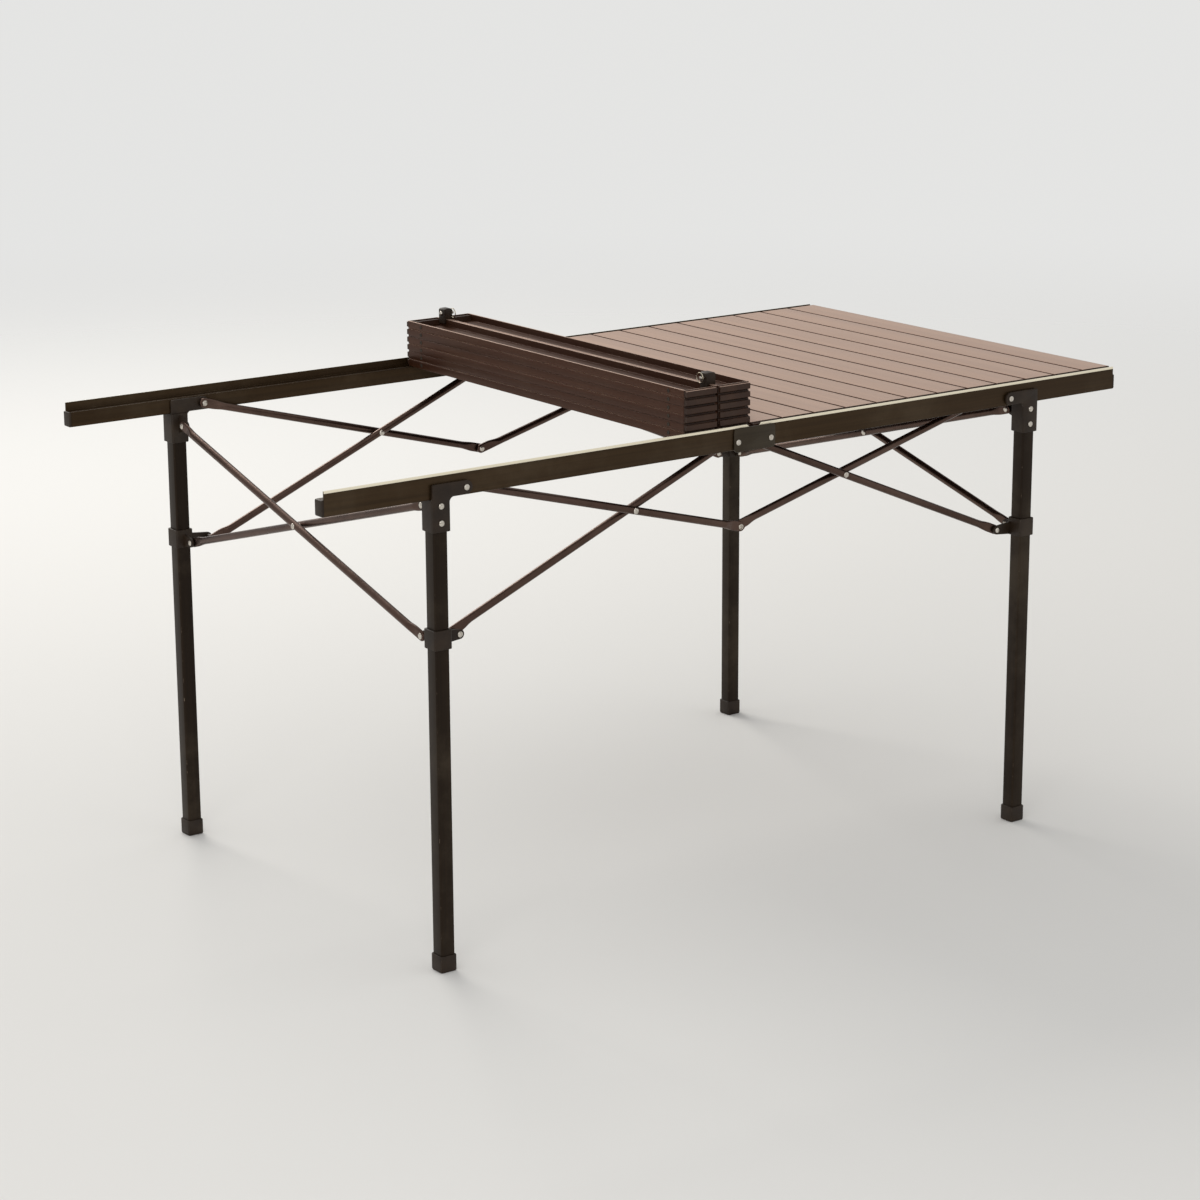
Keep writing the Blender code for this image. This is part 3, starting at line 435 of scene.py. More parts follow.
def stud_parts(number):
    """A low rounded stud with a dished middle on each outer wall, near both ends."""
    left, bottom, _ = pair_place(number)
    profile = [
        (CORE, STUD_PROUD * 0.3), (0.0012, STUD_PROUD * 0.4), (0.0018, STUD_PROUD),
        (STUD_RADIUS - 0.0004, STUD_PROUD), (STUD_RADIUS, STUD_PROUD * 0.5),
        (STUD_RADIUS, STUD_ROOT), (CORE, STUD_ROOT),
    ]
    walls = ((left + SLAT_GAP / 2, -1), (left + 2 * SLAT_PITCH - SLAT_GAP / 2, 1))
    height = bottom + SLAT_HEIGHT / 2
    return [turned(profile, (x, y, height), (way, 0, 0), 20) for x, way in walls for y in (-STUD_Y, STUD_Y)]


for label, number in PAIRS:
    piece(f"slat_studs_{label}", stud_parts(number), body_of(f"slat_pair_{label}"), "moulded")
print("pieces so far:", len(PIECES))

# %% [markdown]
# ## The side rails
#
# Each rail half is a box section with a lip along its outer edge. Its inner
# end is rounded about the rivet of the hinge plate, so that it can turn there.
# That end is part of the same formula: every point of the last ring is moved
# to the arc at its own height. The inside of the tube runs back the other way,
# with as many points as the outside, so that each ring joins the next.

# %% Rails
# LIP_SHINE is the depth of the strip along the lip's top that is painted with a bright highlight.
LIP_SHINE, CAP_THICK, RAIL_MIDDLE = 0.0034, 0.0033, 0.4
SHELL_RADII = [0.0014, 0.0014, 0.0002, 0.0015, 0.0004, 0.0006, 0.0012]
HOLLOW_RADII = [0.0005, 0.0005, 0.0003, 0.0003, 0.0003, 0.0005, 0.0005]


def rounded_end(flat):
    """x where a rail's rounded end lies at each point's height."""
    radius = PLATE_PIN_X - 2 * PLAY
    return PLATE_PIN_X - np.sqrt(radius**2 - (flat[:, 1] - PIVOT_Z) ** 2)


def rail_parts(side, end):
    """The rail's section carried along X, outside first and then back along the hollow."""
    inner_y, outer_y = HALF_WIDTH - RAIL_WIDTH, HALF_WIDTH
    # The corner at TABLE_HEIGHT - LIP_SHINE ends the strip that is painted with a highlight.
    shell = [
        (inner_y, RAIL_BOTTOM), (outer_y, RAIL_BOTTOM), (outer_y, TABLE_HEIGHT - LIP_SHINE),
        (outer_y, TABLE_HEIGHT), (outer_y - LIP, TABLE_HEIGHT), (outer_y - LIP, LEDGE), (inner_y, LEDGE),
    ]
    left, right, roof = inner_y + RAIL_WALL, outer_y - RAIL_WALL, LEDGE - RAIL_WALL
    hollow = [
        (left, RAIL_BOTTOM + RAIL_WALL), (right, RAIL_BOTTOM + RAIL_WALL), (right, roof - 0.006),
        (right, roof - 0.004), (right, roof - 0.002), (right, roof), (left, roof),
    ]
    out, edge = rounded(shell, SHELL_RADII)
    back, _ = rounded(hollow, HOLLOW_RADII)
    far = HALF_LENGTH - CAP_THICK
    rings = [lay(out, far, "x"), lay(out, RAIL_MIDDLE, "x"), lay(out, rounded_end(out), "x")]
    rings += [lay(back, rounded_end(back), "x"), lay(back, far, "x")]
    weights = np.array([edge, edge, edge, edge * 0, edge * 0])
    return [skin(np.array(rings) * (end, side, 1), weights, loop=True)]


stand_ins(CORNERS, "rail", "side_rail", rail_parts, "frame_paint")

# %% [markdown]
# ## Rail caps and hinge plates
#
# A plug closes each rail's outer end, with softly rounded edges. The hinge
# plate is a flat pressed plate with rounded corners over the joint.

# %% Rail caps and hinge plates
PLATE_HALF_LONG, PLATE_HALF_HIGH, PLATE_CORNER = 0.0365, 0.017, 0.0065
PLATE_THICK, PLATE_DROP = 0.002, 0.003


def rail_cap_parts(side, end):
    """A rounded flange with a plug behind it, as one loft along X."""
    middle = (HALF_WIDTH - RAIL_WIDTH / 2, (RAIL_BOTTOM + LEDGE) / 2)
    half_y, half_z = RAIL_WIDTH / 2, (LEDGE - RAIL_BOTTOM) / 2
    stations = [
        (half_y - 0.0022, half_z - 0.0020, 0.0008, HALF_LENGTH - 0.015),
        (half_y - 0.0022, half_z - 0.0020, 0.0008, HALF_LENGTH - 0.0030),
        (half_y, half_z, 0.0020, HALF_LENGTH - 0.0030),
        (half_y, half_z, 0.0020, HALF_LENGTH - 0.0012),
        (half_y - 0.0005, half_z - 0.0005, 0.0020, HALF_LENGTH - 0.0003),
        (half_y - 0.0014, half_z - 0.0014, 0.0016, HALF_LENGTH),
    ]
    return [moved(loft(stations, middle, "x"), (end, side, 1))]


def hinge_plate_parts(side):
    """The pressed plate over the joint in a rail."""
    outline, _ = square(PLATE_HALF_LONG, PLATE_HALF_HIGH, PLATE_CORNER, 6)
    outline = outline + (0, TABLE_HEIGHT - PLATE_DROP - PLATE_HALF_HIGH)
    low = HALF_WIDTH + PLAY
    return [moved(plate(outline, low, low + PLATE_THICK, 0.0006, "y"), (1, side, 1))]


stand_ins(CORNERS, "rail_cap", "rail_plug", rail_cap_parts, "moulded")
stand_ins(SIDES.items(), "hinge_plate", "joint_plate", hinge_plate_parts, "plate_paint")

# %% [markdown]
# ## Legs and feet
#
# The legs are square tubes with rounded corners, hollow all the way. A moulded
# cap fits over each lower end: up its outside, over the rim and down inside.

# %% Legs and feet
LEG_LOW, LEG_TOP, LEG_WALL, LEG_CORNER = 0.0033, 0.6533, 0.0014, 0.0030


def on_leg(side, end, steps, loop=False):
    """Rounded squares (half, corner, height) about a leg's middle line, joined one to the next."""
    stations = [(half, half, corner, z) for half, corner, z in steps]
    return loft(stations, (end * LEG_X, side * LEG_Y), "z", loop)


def leg_parts(side, end):
    """A square tube: outside up, then back down the hollow, closed in a loop."""
    steps = [(LEG_HALF, LEG_CORNER, z) for z in (LEG_LOW, 0.2, LEG_TOP)]
    steps += [(LEG_HALF - LEG_WALL, LEG_CORNER - LEG_WALL, z) for z in (LEG_TOP, LEG_LOW)]
    return [on_leg(side, end, steps, loop=True)]


def foot_parts(side, end):
    """The cap on a leg: a rounded sole, straight sides, a soft rim and a pocket."""
    h, p = LEG_HALF + 0.0019, LEG_HALF + PLAY
    steps = [
        (h - 0.0022, 0.0026, 0.0), (h - 0.0007, 0.0032, 0.0006), (h, 0.0036, 0.0022),
        (h, 0.0036, 0.0226), (h - 0.0004, 0.0034, 0.0236), (h - 0.0010, 0.0032, 0.0240),
        (p, 0.0030, 0.0238), (p, 0.0030, 0.0030),
    ]
    return [on_leg(side, end, steps)]


stand_ins(CORNERS, "leg_tube", "leg", leg_parts, "leg_paint")
stand_ins(CORNERS, "leg_foot", "foot", foot_parts, "moulded")

# %% [markdown]
# ## Leg brackets
#
# The bracket is the table's busiest moulding: a sleeve over the leg's top, two
# cheeks that hold the rail between them and reach in to its rivet, and a lug
# for the end brace. The cheeks are plates with rounded edges. The fillet under
# the arm and the step at the sleeve follow the photograph.

# %% Lugs and sleeves
LUG_NOSE, LUG_ROOT, LUG_THICK, LUG_SOFT = 0.0068, 0.0016, 0.004, 0.0007


def lug_outline(pin, leg, z, root_half):
    """A lug that narrows from its root in the sleeve to a round nose about its pin."""
    nose = arc((0, 0), LUG_NOSE, 270, 90, 10)
    reach = leg - LEG_HALF - LUG_ROOT - pin
    return np.concatenate([[(reach, -root_half)], nose, [(reach, root_half)]]) + (pin, z)


def end_lug(side, end, z, root_half):
    """The lug across the table, in the leg's middle plane."""
    outline = lug_outline(END_PIN_Y, LEG_Y, z, root_half) * (side, 1)
    middle = end * LEG_X
    return plate(outline, middle - LUG_THICK / 2, middle + LUG_THICK / 2, LUG_SOFT, "x")


def side_lug(side, end, z, root_half):
    """The lug along the table, flush with the inner cheek's face."""
    outline = lug_outline(PIVOT_X, LEG_X, z, root_half) * (end, 1)
    low = HALF_WIDTH - CHEEK_DEPTH
    return moved(plate(outline, low, low + LUG_THICK, LUG_SOFT, "y"), (1, side, 1))


def sleeve(side, end, low, high):
    """A square collar with soft rims, open both ways."""
    h, b = SLEEVE_HALF, LEG_HALF + 0.0004
    steps = [
        (h - 0.0009, 0.0026, low), (h - 0.0002, 0.0030, low + 0.0004), (h, 0.0032, low + 0.0012),
        (h, 0.0032, high - 0.0012), (h - 0.0002, 0.0030, high - 0.0004), (h - 0.0009, 0.0026, high),
        (b, 0.0028, high), (b, 0.0028, low),
    ]
    return on_leg(side, end, steps, loop=True)


print("a sleeve has", len(sleeve(1, 1, COLLAR_BOTTOM, COLLAR_TOP)[1]), "faces")

# %% Brackets
ARM_RADIUS, FILLET, CHEEK_CORNER = 0.0095, 0.007, 0.003
ROOF_THICK, ROOF_INSET, ROOF_CORNER = 0.0021, 0.001, 0.0026
BRACKET_LUG, COLLAR_LUG = 0.0132, 0.0095
OUTER_FACE = LEG_Y + SLEEVE_HALF + CHEEK_PROUD


def cheek_outline(end):
    """The cheek in (x, z): flank, arm with a round nose about the rivet, and an inner fillet."""
    outer, inner = LEG_X + SLEEVE_HALF - CHEEK_INSET, LEG_X - SLEEVE_HALF + CHEEK_INSET
    foot = SLEEVE_LOW + CHEEK_INSET
    top, low = PIVOT_Z + ARM_RADIUS, PIVOT_Z - ARM_RADIUS
    corner = arc((outer - CHEEK_CORNER, top - CHEEK_CORNER), CHEEK_CORNER, 0, 90, 4)
    nose = arc((PIVOT_X, PIVOT_Z), ARM_RADIUS, 90, 270, 14)
    fillet = arc((inner - FILLET, low - FILLET), FILLET, 90, 0, 6)
    return np.concatenate([[(outer, foot)], corner, nose, fillet, [(inner, foot)]]) * (end, 1)


def bracket_parts(side, end):
    """Sleeve, roof, outer cheek, inner cheek and end lug."""
    outline = cheek_outline(end)
    roof, _ = square(SLEEVE_HALF - ROOF_INSET, SLEEVE_HALF - ROOF_INSET, ROOF_CORNER)
    roof = roof + (end * LEG_X, side * LEG_Y)
    parts = [sleeve(side, end, SLEEVE_LOW, SLEEVE_TOP)]
    parts.append(plate(roof, SLEEVE_TOP - ROOF_THICK, SLEEVE_TOP, 0.0002, "z"))
    outer = plate(outline, HALF_WIDTH + PLAY, OUTER_FACE, 0.0010, "y")
    inner = plate(outline, HALF_WIDTH - CHEEK_DEPTH, HALF_WIDTH - RAIL_WIDTH - PLAY, 0.0006, "y")
    parts += [moved(cheek, (1, side, 1)) for cheek in (outer, inner)]
    parts.append(end_lug(side, end, END_PIN_Z, BRACKET_LUG))
    return parts


stand_ins(CORNERS, "leg_bracket", "bracket", bracket_parts, "moulded")

# %% [markdown]
# ## Sliding collars
#
# A collar rides on each leg where the braces end. It is the same sleeve with a
# lug each way, and a boss where the low brace runs in the inner plane.

# %% Collars
BOSS_RADIUS, BOSS_SOFT = 0.0046, 0.0004


def plane_of(level, end):
    """Depth of a side brace: left high and right low braces lie outside, the other two inside."""
    return OUTER_PLANE if (level == "high") == (end < 0) else INNER_PLANE


def inward(depth, side):
    """The y of a depth measured inward from the rail's outer face."""
    return side * (HALF_WIDTH - depth)


def collar_parts(side, end):
    """Sleeve, two lugs and, on the left, a boss."""
    parts = [sleeve(side, end, COLLAR_BOTTOM, COLLAR_TOP)]
    parts.append(end_lug(side, end, COLLAR_PIN_Z, COLLAR_LUG))
    parts.append(side_lug(side, end, COLLAR_PIN_Z, COLLAR_LUG))
    if plane_of("low", end) == INNER_PLANE:
        base = (end * PIVOT_X, inward(CHEEK_DEPTH - 0.001, side), COLLAR_PIN_Z)
        length = INNER_PLANE - TUBE_RADIUS - CHEEK_DEPTH + 0.0007
        profile = [
            (CORE, 0), (BOSS_RADIUS, 0), (BOSS_RADIUS, length - BOSS_SOFT),
            (BOSS_RADIUS - BOSS_SOFT, length), (CORE, length),
        ]
        parts.append(turned(profile, base, (0, -side, 0)))
    return parts


stand_ins(CORNERS, "collar", "slider", collar_parts, "moulded")

# %% [markdown]
# ## Brace tubes
#
# The braces are round tubes whose ends are pressed flat for the rivets. One
# formula does a whole tube: its section is a circle in the middle and grows
# wide, thin and squarer towards the ends, smoothly with a half cosine. The tip
# is a half circle, so the width there follows a circle.

# %% One brace tube
FLAT, FLAT_WIDE, OVERRUN = 0.005, 0.0142, 0.0075
PRESSED, TAPER_END, AROUND = 0.012, 0.034, 28


def smooth(t):
    """Half a cosine from 0 to 1."""
    return 0.5 - 0.5 * np.cos(np.pi * np.clip(t, 0, 1))


def tube(start, end, normal, start_shift, end_shift):
    """A tube between two pins: rings (thick cos^p a, wide sin^p a) along the line, p from 0.55 to 1."""
    start, end, normal = (np.asarray(v, float) for v in (start, end, normal))
    length = np.linalg.norm(end - start)
    along = (end - start) / length
    across = np.cross(normal, along)
    tip = -OVERRUN + OVERRUN * (1 - np.cos(np.linspace(0.06, 1, 7) * np.pi / 2))
    taper = np.linspace(PRESSED, TAPER_END, 9)
    middle = np.linspace(0.2, 0.8, 5) * length
    place = np.concatenate([tip, taper, middle, length - taper[::-1], length - tip[::-1]])
    from_end = np.minimum(place, length - place)
    round_part = smooth((from_end - PRESSED) / (TAPER_END - PRESSED))
    shift = np.where(place < length / 2, start_shift, end_shift) * (1 - round_part)
    tip_scale = np.sqrt(np.clip(1 - (np.minimum(from_end, 0) / OVERRUN) ** 2, 0.02, 1))
    thick = (FLAT / 2 + (TUBE_RADIUS - FLAT / 2) * round_part) * np.where(from_end < -0.006, 0.85, 1.0)
    wide = (FLAT_WIDE / 2 + (TUBE_RADIUS - FLAT_WIDE / 2) * round_part) * tip_scale
    a = np.linspace(0, 2 * np.pi, AROUND, endpoint=False)[None, :]
    power = 0.55 + 0.45 * round_part[:, None]
    cos_a = np.sign(np.cos(a)) * np.abs(np.cos(a)) ** power
    sin_a = np.sign(np.sin(a)) * np.abs(np.sin(a)) ** power
    core = start + along * place[:, None] + normal * shift[:, None]
    rings = core[:, None] + normal * (thick[:, None] * cos_a)[..., None]
    rings = rings + across * (wide[:, None] * sin_a)[..., None]
    weight = np.clip(1 - round_part, 0, 1)[:, None] * np.abs(np.sin(a)) ** 6 * 0.8
    return skin(rings, weight)


print("a tube has", len(tube((0, 0, 0), (0.3, 0, 0), (0, 1, 0), 0, 0)[1]), "faces")

# %% All twelve braces
PRESS = TUBE_RADIUS - FLAT / 2
END_OFFSET, END_FLAT = 0.0059, 0.0049


def brace_ends(level, side, end):
    """The two pins of a side brace and the direction of its partner at the middle."""
    depth = plane_of(level, end)
    y = inward(depth, side)
    leg = np.array([end * PIVOT_X, y, PIVOT_Z if level == "high" else COLLAR_PIN_Z])
    middle = np.array([0.0, y, LOWER_JOINT_Z if level == "high" else PIVOT_Z])
    to_inside = np.array([0.0, -side, 0.0])
    partner = to_inside if depth == OUTER_PLANE else -to_inside
    return leg, middle, to_inside, partner


def end_brace_ends(side, end):
    """The two pins of an end brace, in the legs' middle plane, and the way to its own side of that plane."""
    high = np.array([end * LEG_X, side * END_PIN_Y, END_PIN_Z])
    low = np.array([end * LEG_X, -side * END_PIN_Y, COLLAR_PIN_Z])
    return high, low, np.array([end * side, 0.0, 0.0])


for corner, side, end in CORNERS:
    for level in ("high", "low"):
        leg, middle, to_inside, partner = brace_ends(level, side, end)
        shift = PRESS if np.allclose(partner, to_inside) else -PRESS
        parts = [tube(leg, middle, to_inside, -PRESS, shift)]
        stand_in(f"side_bar_{level}_{corner}", f"side_brace_{level}_{corner}", parts, "brace_paint")
    high, low, outward = end_brace_ends(side, end)
    out, press = outward * END_OFFSET, END_FLAT - END_OFFSET
    parts = [tube(high + out, low + out, outward, press, press)]
    stand_in(f"end_bar_{corner}", f"end_brace_{corner}", parts, "brace_paint")
print("braces made:", sum("brace" in name for name in PIECES))

# %% [markdown]
# ## Rivets
#
# Bright rivets mark every pivot, so each one is turned, with a low dome over a
# short straight rim. A rivet rides with the piece that holds it fast. The
# rivets of one body are one object, because they are never apart.

# %% One rivet
HEAD, SHANK, DOME, RIM, SHOULDER = 0.0042, 0.0024, 0.0019, 0.0004, 0.0045
ROUND_SHARP = 50
RIVETS = {}


def head_profile():
    """A dome: radius HEAD cos a, height DOME sin a, over a short straight rim."""
    a = np.linspace(np.pi / 2 * 0.96, 0, 7)
    return np.stack([HEAD * np.cos(a), RIM + (DOME - RIM) * np.sin(a)], 1)


def rivet(body, base, axis, length, far_head=False, shoulder=None):
    """Add a rivet: a dome on 'base', its shank the other way and, if it goes through, a second head."""
    dome = head_profile()
    profile = [tuple(p) for p in dome] + [(HEAD, 0.0), (SHANK, 0.0)]
    if shoulder:
        low, high = shoulder
        profile += [(SHANK, -low), (SHOULDER, -low), (SHOULDER, -high), (SHANK, -high)]
    profile.append((SHANK, -length))
    if far_head:
        profile += [(HEAD, -length)] + [(r, -length - d) for r, d in dome[::-1]]
    else:
        profile.append((CORE, -length))
    RIVETS.setdefault(body, []).append(turned(profile, base, axis))


print("a head has", len(head_profile()), "rings")

# %% Rivets of the legs and collars
SHALLOW, SHORT, THROUGH, OVER = 0.002, 0.003, 0.0222, 0.0002

for corner, side, end in CORNERS:
    leg_body, collar_body = body_of(f"leg_tube_{corner}"), body_of(f"collar_{corner}")
    for share in (0.28, 0.80):
        height = SLEEVE_LOW + (SLEEVE_TOP - SLEEVE_LOW) * share
        rivet(leg_body, (end * LEG_X, side * OUTER_FACE, height), (0, side, 0), SHALLOW)
    seat = plane_of("high", end) - TUBE_RADIUS
    start_depth = HALF_WIDTH - OUTER_FACE
    through = seat + FLAT - start_depth + OVER
    shoulder = None
    if plane_of("high", end) == INNER_PLANE:
        shoulder = (CHEEK_DEPTH - start_depth + PLAY, seat - start_depth - PLAY)
    rivet(leg_body, (end * PIVOT_X, side * OUTER_FACE, PIVOT_Z), (0, side, 0), through, True, shoulder)
    high, low, outward = end_brace_ends(side, end)
    out, length = outward * LUG_THICK / 2, LUG_THICK / 2 + END_FLAT + FLAT / 2 + OVER
    rivet(leg_body, high - out, -outward, length, True)
    lug_face = inward(CHEEK_DEPTH - LUG_THICK, side)
    rivet(collar_body, (end * PIVOT_X, lug_face, COLLAR_PIN_Z), (0, side, 0), SHORT)
    rivet(collar_body, low * (1, -1, 1) + out, outward, SHORT)
print("bodies with rivets:", len(RIVETS))

# %% Rivets of the braces and hinge plates
CROSSING = (PIVOT_Z - COLLAR_PIN_Z) / ((PIVOT_Z - LOWER_JOINT_Z) + (PIVOT_Z - COLLAR_PIN_Z))
SUNK, THROUGH_PLATE = 0.0006, 0.019

for corner, side, end in CORNERS:
    for level in ("high", "low"):
        leg, middle, to_inside, partner = brace_ends(level, side, end)
        bar_body = body_of(f"side_bar_{level}_{corner}")
        rivet(bar_body, middle + partner * (PRESS - FLAT / 2), -partner, SHORT)
        if level == "high":
            crossing = leg + (middle - leg) * CROSSING
            rivet(bar_body, crossing - partner * (TUBE_RADIUS - SUNK), -partner, THROUGH, True)
        else:
            rivet(bar_body, leg + to_inside * (FLAT / 2 - PRESS), to_inside, SHORT)
    high, low, outward = end_brace_ends(side, end)
    bar_body = body_of(f"end_bar_{corner}")
    rivet(bar_body, low + outward * (END_FLAT + FLAT / 2), outward, SHORT)
    if side > 0:
        out = outward * (END_OFFSET + TUBE_RADIUS - SUNK)
        rivet(bar_body, (high + low) / 2 + out, outward, THROUGH, True)
for name, side in SIDES.items():
    plate_face = side * (HALF_WIDTH + PLAY + PLATE_THICK)
    for x in (-PLATE_PIN_X, PLATE_PIN_X):
        rivet(body_of(f"hinge_plate_{name}"), (x, plate_face, PIVOT_Z), (0, side, 0), THROUGH_PLATE)
for body, parts in RIVETS.items():
    corner = body.replace("_body", "")
    stood_for = (f"rail_rivet_{corner[4:]}",) if body.startswith("leg_") else ()
    piece(f"rivets_{corner}", parts, body, "rivet_steel", stood_for, ROUND_SHARP)
print("rivet sets:", len(RIVETS), "rivets:", sum(len(parts) for parts in RIVETS.values()))

# %% [markdown]
# ## Clips, bolts and split rings
#
# Two moulded clips grip the ridge between the outermost slats. Each has a
# bolt across it and a split ring of wire. The ring is a circle swept along a
# helix of one and three quarter turns, the way a real split ring is wound.

# %% Clips and bolts
RIDGE_X = -SLAT_PITCH
RIDGE_TOP = SLAT_BOTTOM + 5 * LAYER + SLAT_HEIGHT
CLIP_Y, CLIP_HALF, CLIP_LONG, CLIP_HIGH, CLIP_CORNER = 0.330, 0.0075, 0.016, 0.0165, 0.0032
BOLT_Z = RIDGE_TOP + CLIP_HIGH - CLIP_HALF
GRIP = SLAT_GAP / 2 + WALL + PLAY
BOLT, BOLT_HEAD, BOLT_STOP, BOLT_OUT = 0.0016, 0.0034, 0.0026, 0.0046


def clip_parts(side):
    """The clip: a block with round shoulders and two legs down the sides of the ridge."""
    crown, shoulder = BOLT_Z + CLIP_HALF - CLIP_CORNER, CLIP_HALF - CLIP_CORNER
    left = arc((RIDGE_X - shoulder, crown), CLIP_CORNER, 180, 90, 6)
    right = arc((RIDGE_X + shoulder, crown), CLIP_CORNER, 90, 0, 6)
    low, seat = RIDGE_TOP - 0.006, RIDGE_TOP + PLAY
    outline = np.concatenate([
        [(RIDGE_X - CLIP_HALF, low)], left, right, [(RIDGE_X + CLIP_HALF, low), (RIDGE_X + GRIP, low)],
        [(RIDGE_X + GRIP, seat), (RIDGE_X - GRIP, seat), (RIDGE_X - GRIP, low)],
    ])
    middle = side * CLIP_Y
    return [plate(outline, middle - CLIP_LONG / 2, middle + CLIP_LONG / 2, 0.0009, "y")]


def bolt_parts(side):
    """A bolt with a domed head, a shank and a small end stop."""
    reach = CLIP_HALF + PLAY
    start = (RIDGE_X - side * reach, side * CLIP_Y, BOLT_Z)
    total = 2 * reach + BOLT_OUT
    a = np.linspace(np.pi / 2 * 0.95, 0, 6)
    dome = [(BOLT_HEAD * math.cos(v), -0.0008 - 0.0016 * math.sin(v)) for v in a]
    stop = [
        (BOLT, total), (BOLT_STOP, total), (BOLT_STOP, total + 0.0009),
        (BOLT_STOP - 0.0004, total + 0.0012), (CORE, total + 0.0012),
    ]
    return [turned(dome + [(BOLT_HEAD, 0.0), (BOLT, 0.0)] + stop, start, (side, 0, 0))]


stand_ins(SIDES.items(), "clip", "ridge_clip", clip_parts, "moulded")
stand_ins(SIDES.items(), "clip_bolt", "ridge_bolt", bolt_parts, "rivet_steel", ROUND_SHARP)

# %% Split rings
RING_RADIUS, WIRE, RING_STEPS = 0.0071, 0.00052, 84
RING_SWUNG, RING_SEAT, WIRE_SHARP = 84, 0.0022, 60


def ring_parts(side):
    """A wire on a helix: 1.75 turns while it moves one wire's width along X, swung towards the middle."""
    x = RIDGE_X + side * (CLIP_HALF + PLAY + BOLT_OUT / 2)
    swung = math.radians(RING_SWUNG)
    y = side * (CLIP_Y - (RING_RADIUS - RING_SEAT) * math.sin(swung))
    z = BOLT_Z - (RING_RADIUS - RING_SEAT) * math.cos(swung)
    a = np.linspace(0, 3.5 * np.pi, RING_STEPS) + 0.6
    place = np.linspace(-0.00045, 0.00045, RING_STEPS)
    core = np.stack([x + place, y + RING_RADIUS * np.cos(a), z + RING_RADIUS * np.sin(a)], 1)
    out = np.stack([a * 0, np.cos(a), np.sin(a)], 1)
    b = np.linspace(0, 2 * np.pi, 10, endpoint=False)
    count = np.arange(RING_STEPS)
    taper = np.sqrt(np.clip(np.minimum(count, count[::-1]) / 2.0, 0.15, 1))[:, None]
    rings = core[:, None] + out[:, None] * (WIRE * taper * np.cos(b))[..., None]
    rings = rings + np.array([1.0, 0, 0]) * (WIRE * taper * np.sin(b))[..., None]
    return [skin(rings)]


stand_ins(SIDES.items(), "split_ring", "key_ring", ring_parts, "ring_wire", WIRE_SHARP)

# %% [markdown]
# ## Shader nodes in short
#
# Each helper below adds one node, so that a finish reads like a formula. An
# input takes a plain value or the output of another node.

# %% Shader node helpers


def fill(tree, socket, value):
    """Link a socket to another node's output, or set its plain value."""
    if isinstance(value, bpy.types.NodeSocket):
        tree.links.new(value, socket)
    else:
        socket.default_value = value


def add(tree, kind, inputs, **settings):
    """Add a node, set its properties, and fill its inputs by name or number."""
    node = tree.nodes.new(kind)
    for key, value in settings.items():
        setattr(node, key, value)
    for key, value in inputs.items():
        fill(tree, node.inputs[key], value)
    return node


def maths(tree, operation, a, b, clamp=False):
    """One Math node."""
    return add(tree, "ShaderNodeMath", {0: a, 1: b}, operation=operation, use_clamp=clamp).outputs[0]


def place_in(tree):
    """The object's own coordinates."""
    return tree.nodes.new("ShaderNodeTexCoord").outputs["Object"]


def noise(tree, vector, scale, detail, rough=0.5):
    """A noise texture, about 0.5 on average."""
    inputs = {"Vector": vector, "Scale": scale, "Detail": detail, "Roughness": rough}
    return add(tree, "ShaderNodeTexNoise", inputs).outputs["Fac"]


def ramp(tree, value, low, high):
    """Map a value from low..high to 0..1, smoothly."""
    inputs = {"Value": value, "From Min": low, "From Max": high}
    return add(tree, "ShaderNodeMapRange", inputs, interpolation_type="SMOOTHSTEP").outputs["Result"]


print("smooth ramps and noise ready")

# %% [markdown]
# ## Shared effects
#
# Several finishes need the same three effects, so each is a shader node group
# made once. "Corner wear" turns the edge weights into broken, worn corners.
# "Drawn grain" is the faint streaking that aluminium keeps from the die, along
# one direction. "Field dust" is a light film in soft patches. The groups put
# out only masks and heights, and every material keeps its own shader.

# %% Corner wear


def new_group(name, inputs, outputs):
    """A group of numbers only: its tree, what it is given and where its results go."""
    group = bpy.data.node_groups.new(name, "ShaderNodeTree")
    for label, value in inputs.items():
        socket = group.interface.new_socket(label, in_out="INPUT", socket_type="NodeSocketFloat")
        socket.default_value = value
    for label in outputs:
        group.interface.new_socket(label, in_out="OUTPUT", socket_type="NodeSocketFloat")
    return group, group.nodes.new("NodeGroupInput").outputs, group.nodes.new("NodeGroupOutput").inputs


def corner_wear():
    """Mask = 6 (edge + noise - 0.62 - limit), cut to 0..1, where limit = 1.12 - amount / 2."""
    tree, given, result = new_group("Corner wear", {"Amount": 0.5, "Break up": 90.0}, ["Mask"])
    edge = add(tree, "ShaderNodeAttribute", {}, attribute_name="edge").outputs["Fac"]
    broken = noise(tree, place_in(tree), given["Break up"], 5.0, 0.62)
    worn = maths(tree, "ADD", edge, maths(tree, "SUBTRACT", broken, 0.62))
    limit = maths(tree, "SUBTRACT", 1.12, maths(tree, "MULTIPLY", given["Amount"], 0.5))
    mask = maths(tree, "MULTIPLY", maths(tree, "SUBTRACT", worn, limit), 6.0, clamp=True)
    tree.links.new(mask, result["Mask"])
    return tree


WEAR = corner_wear()
print("made group:", WEAR.name)

# %% Drawn grain
WAYS = ("Along X", "Along Y", "Along Z")
STRETCH = 0.994


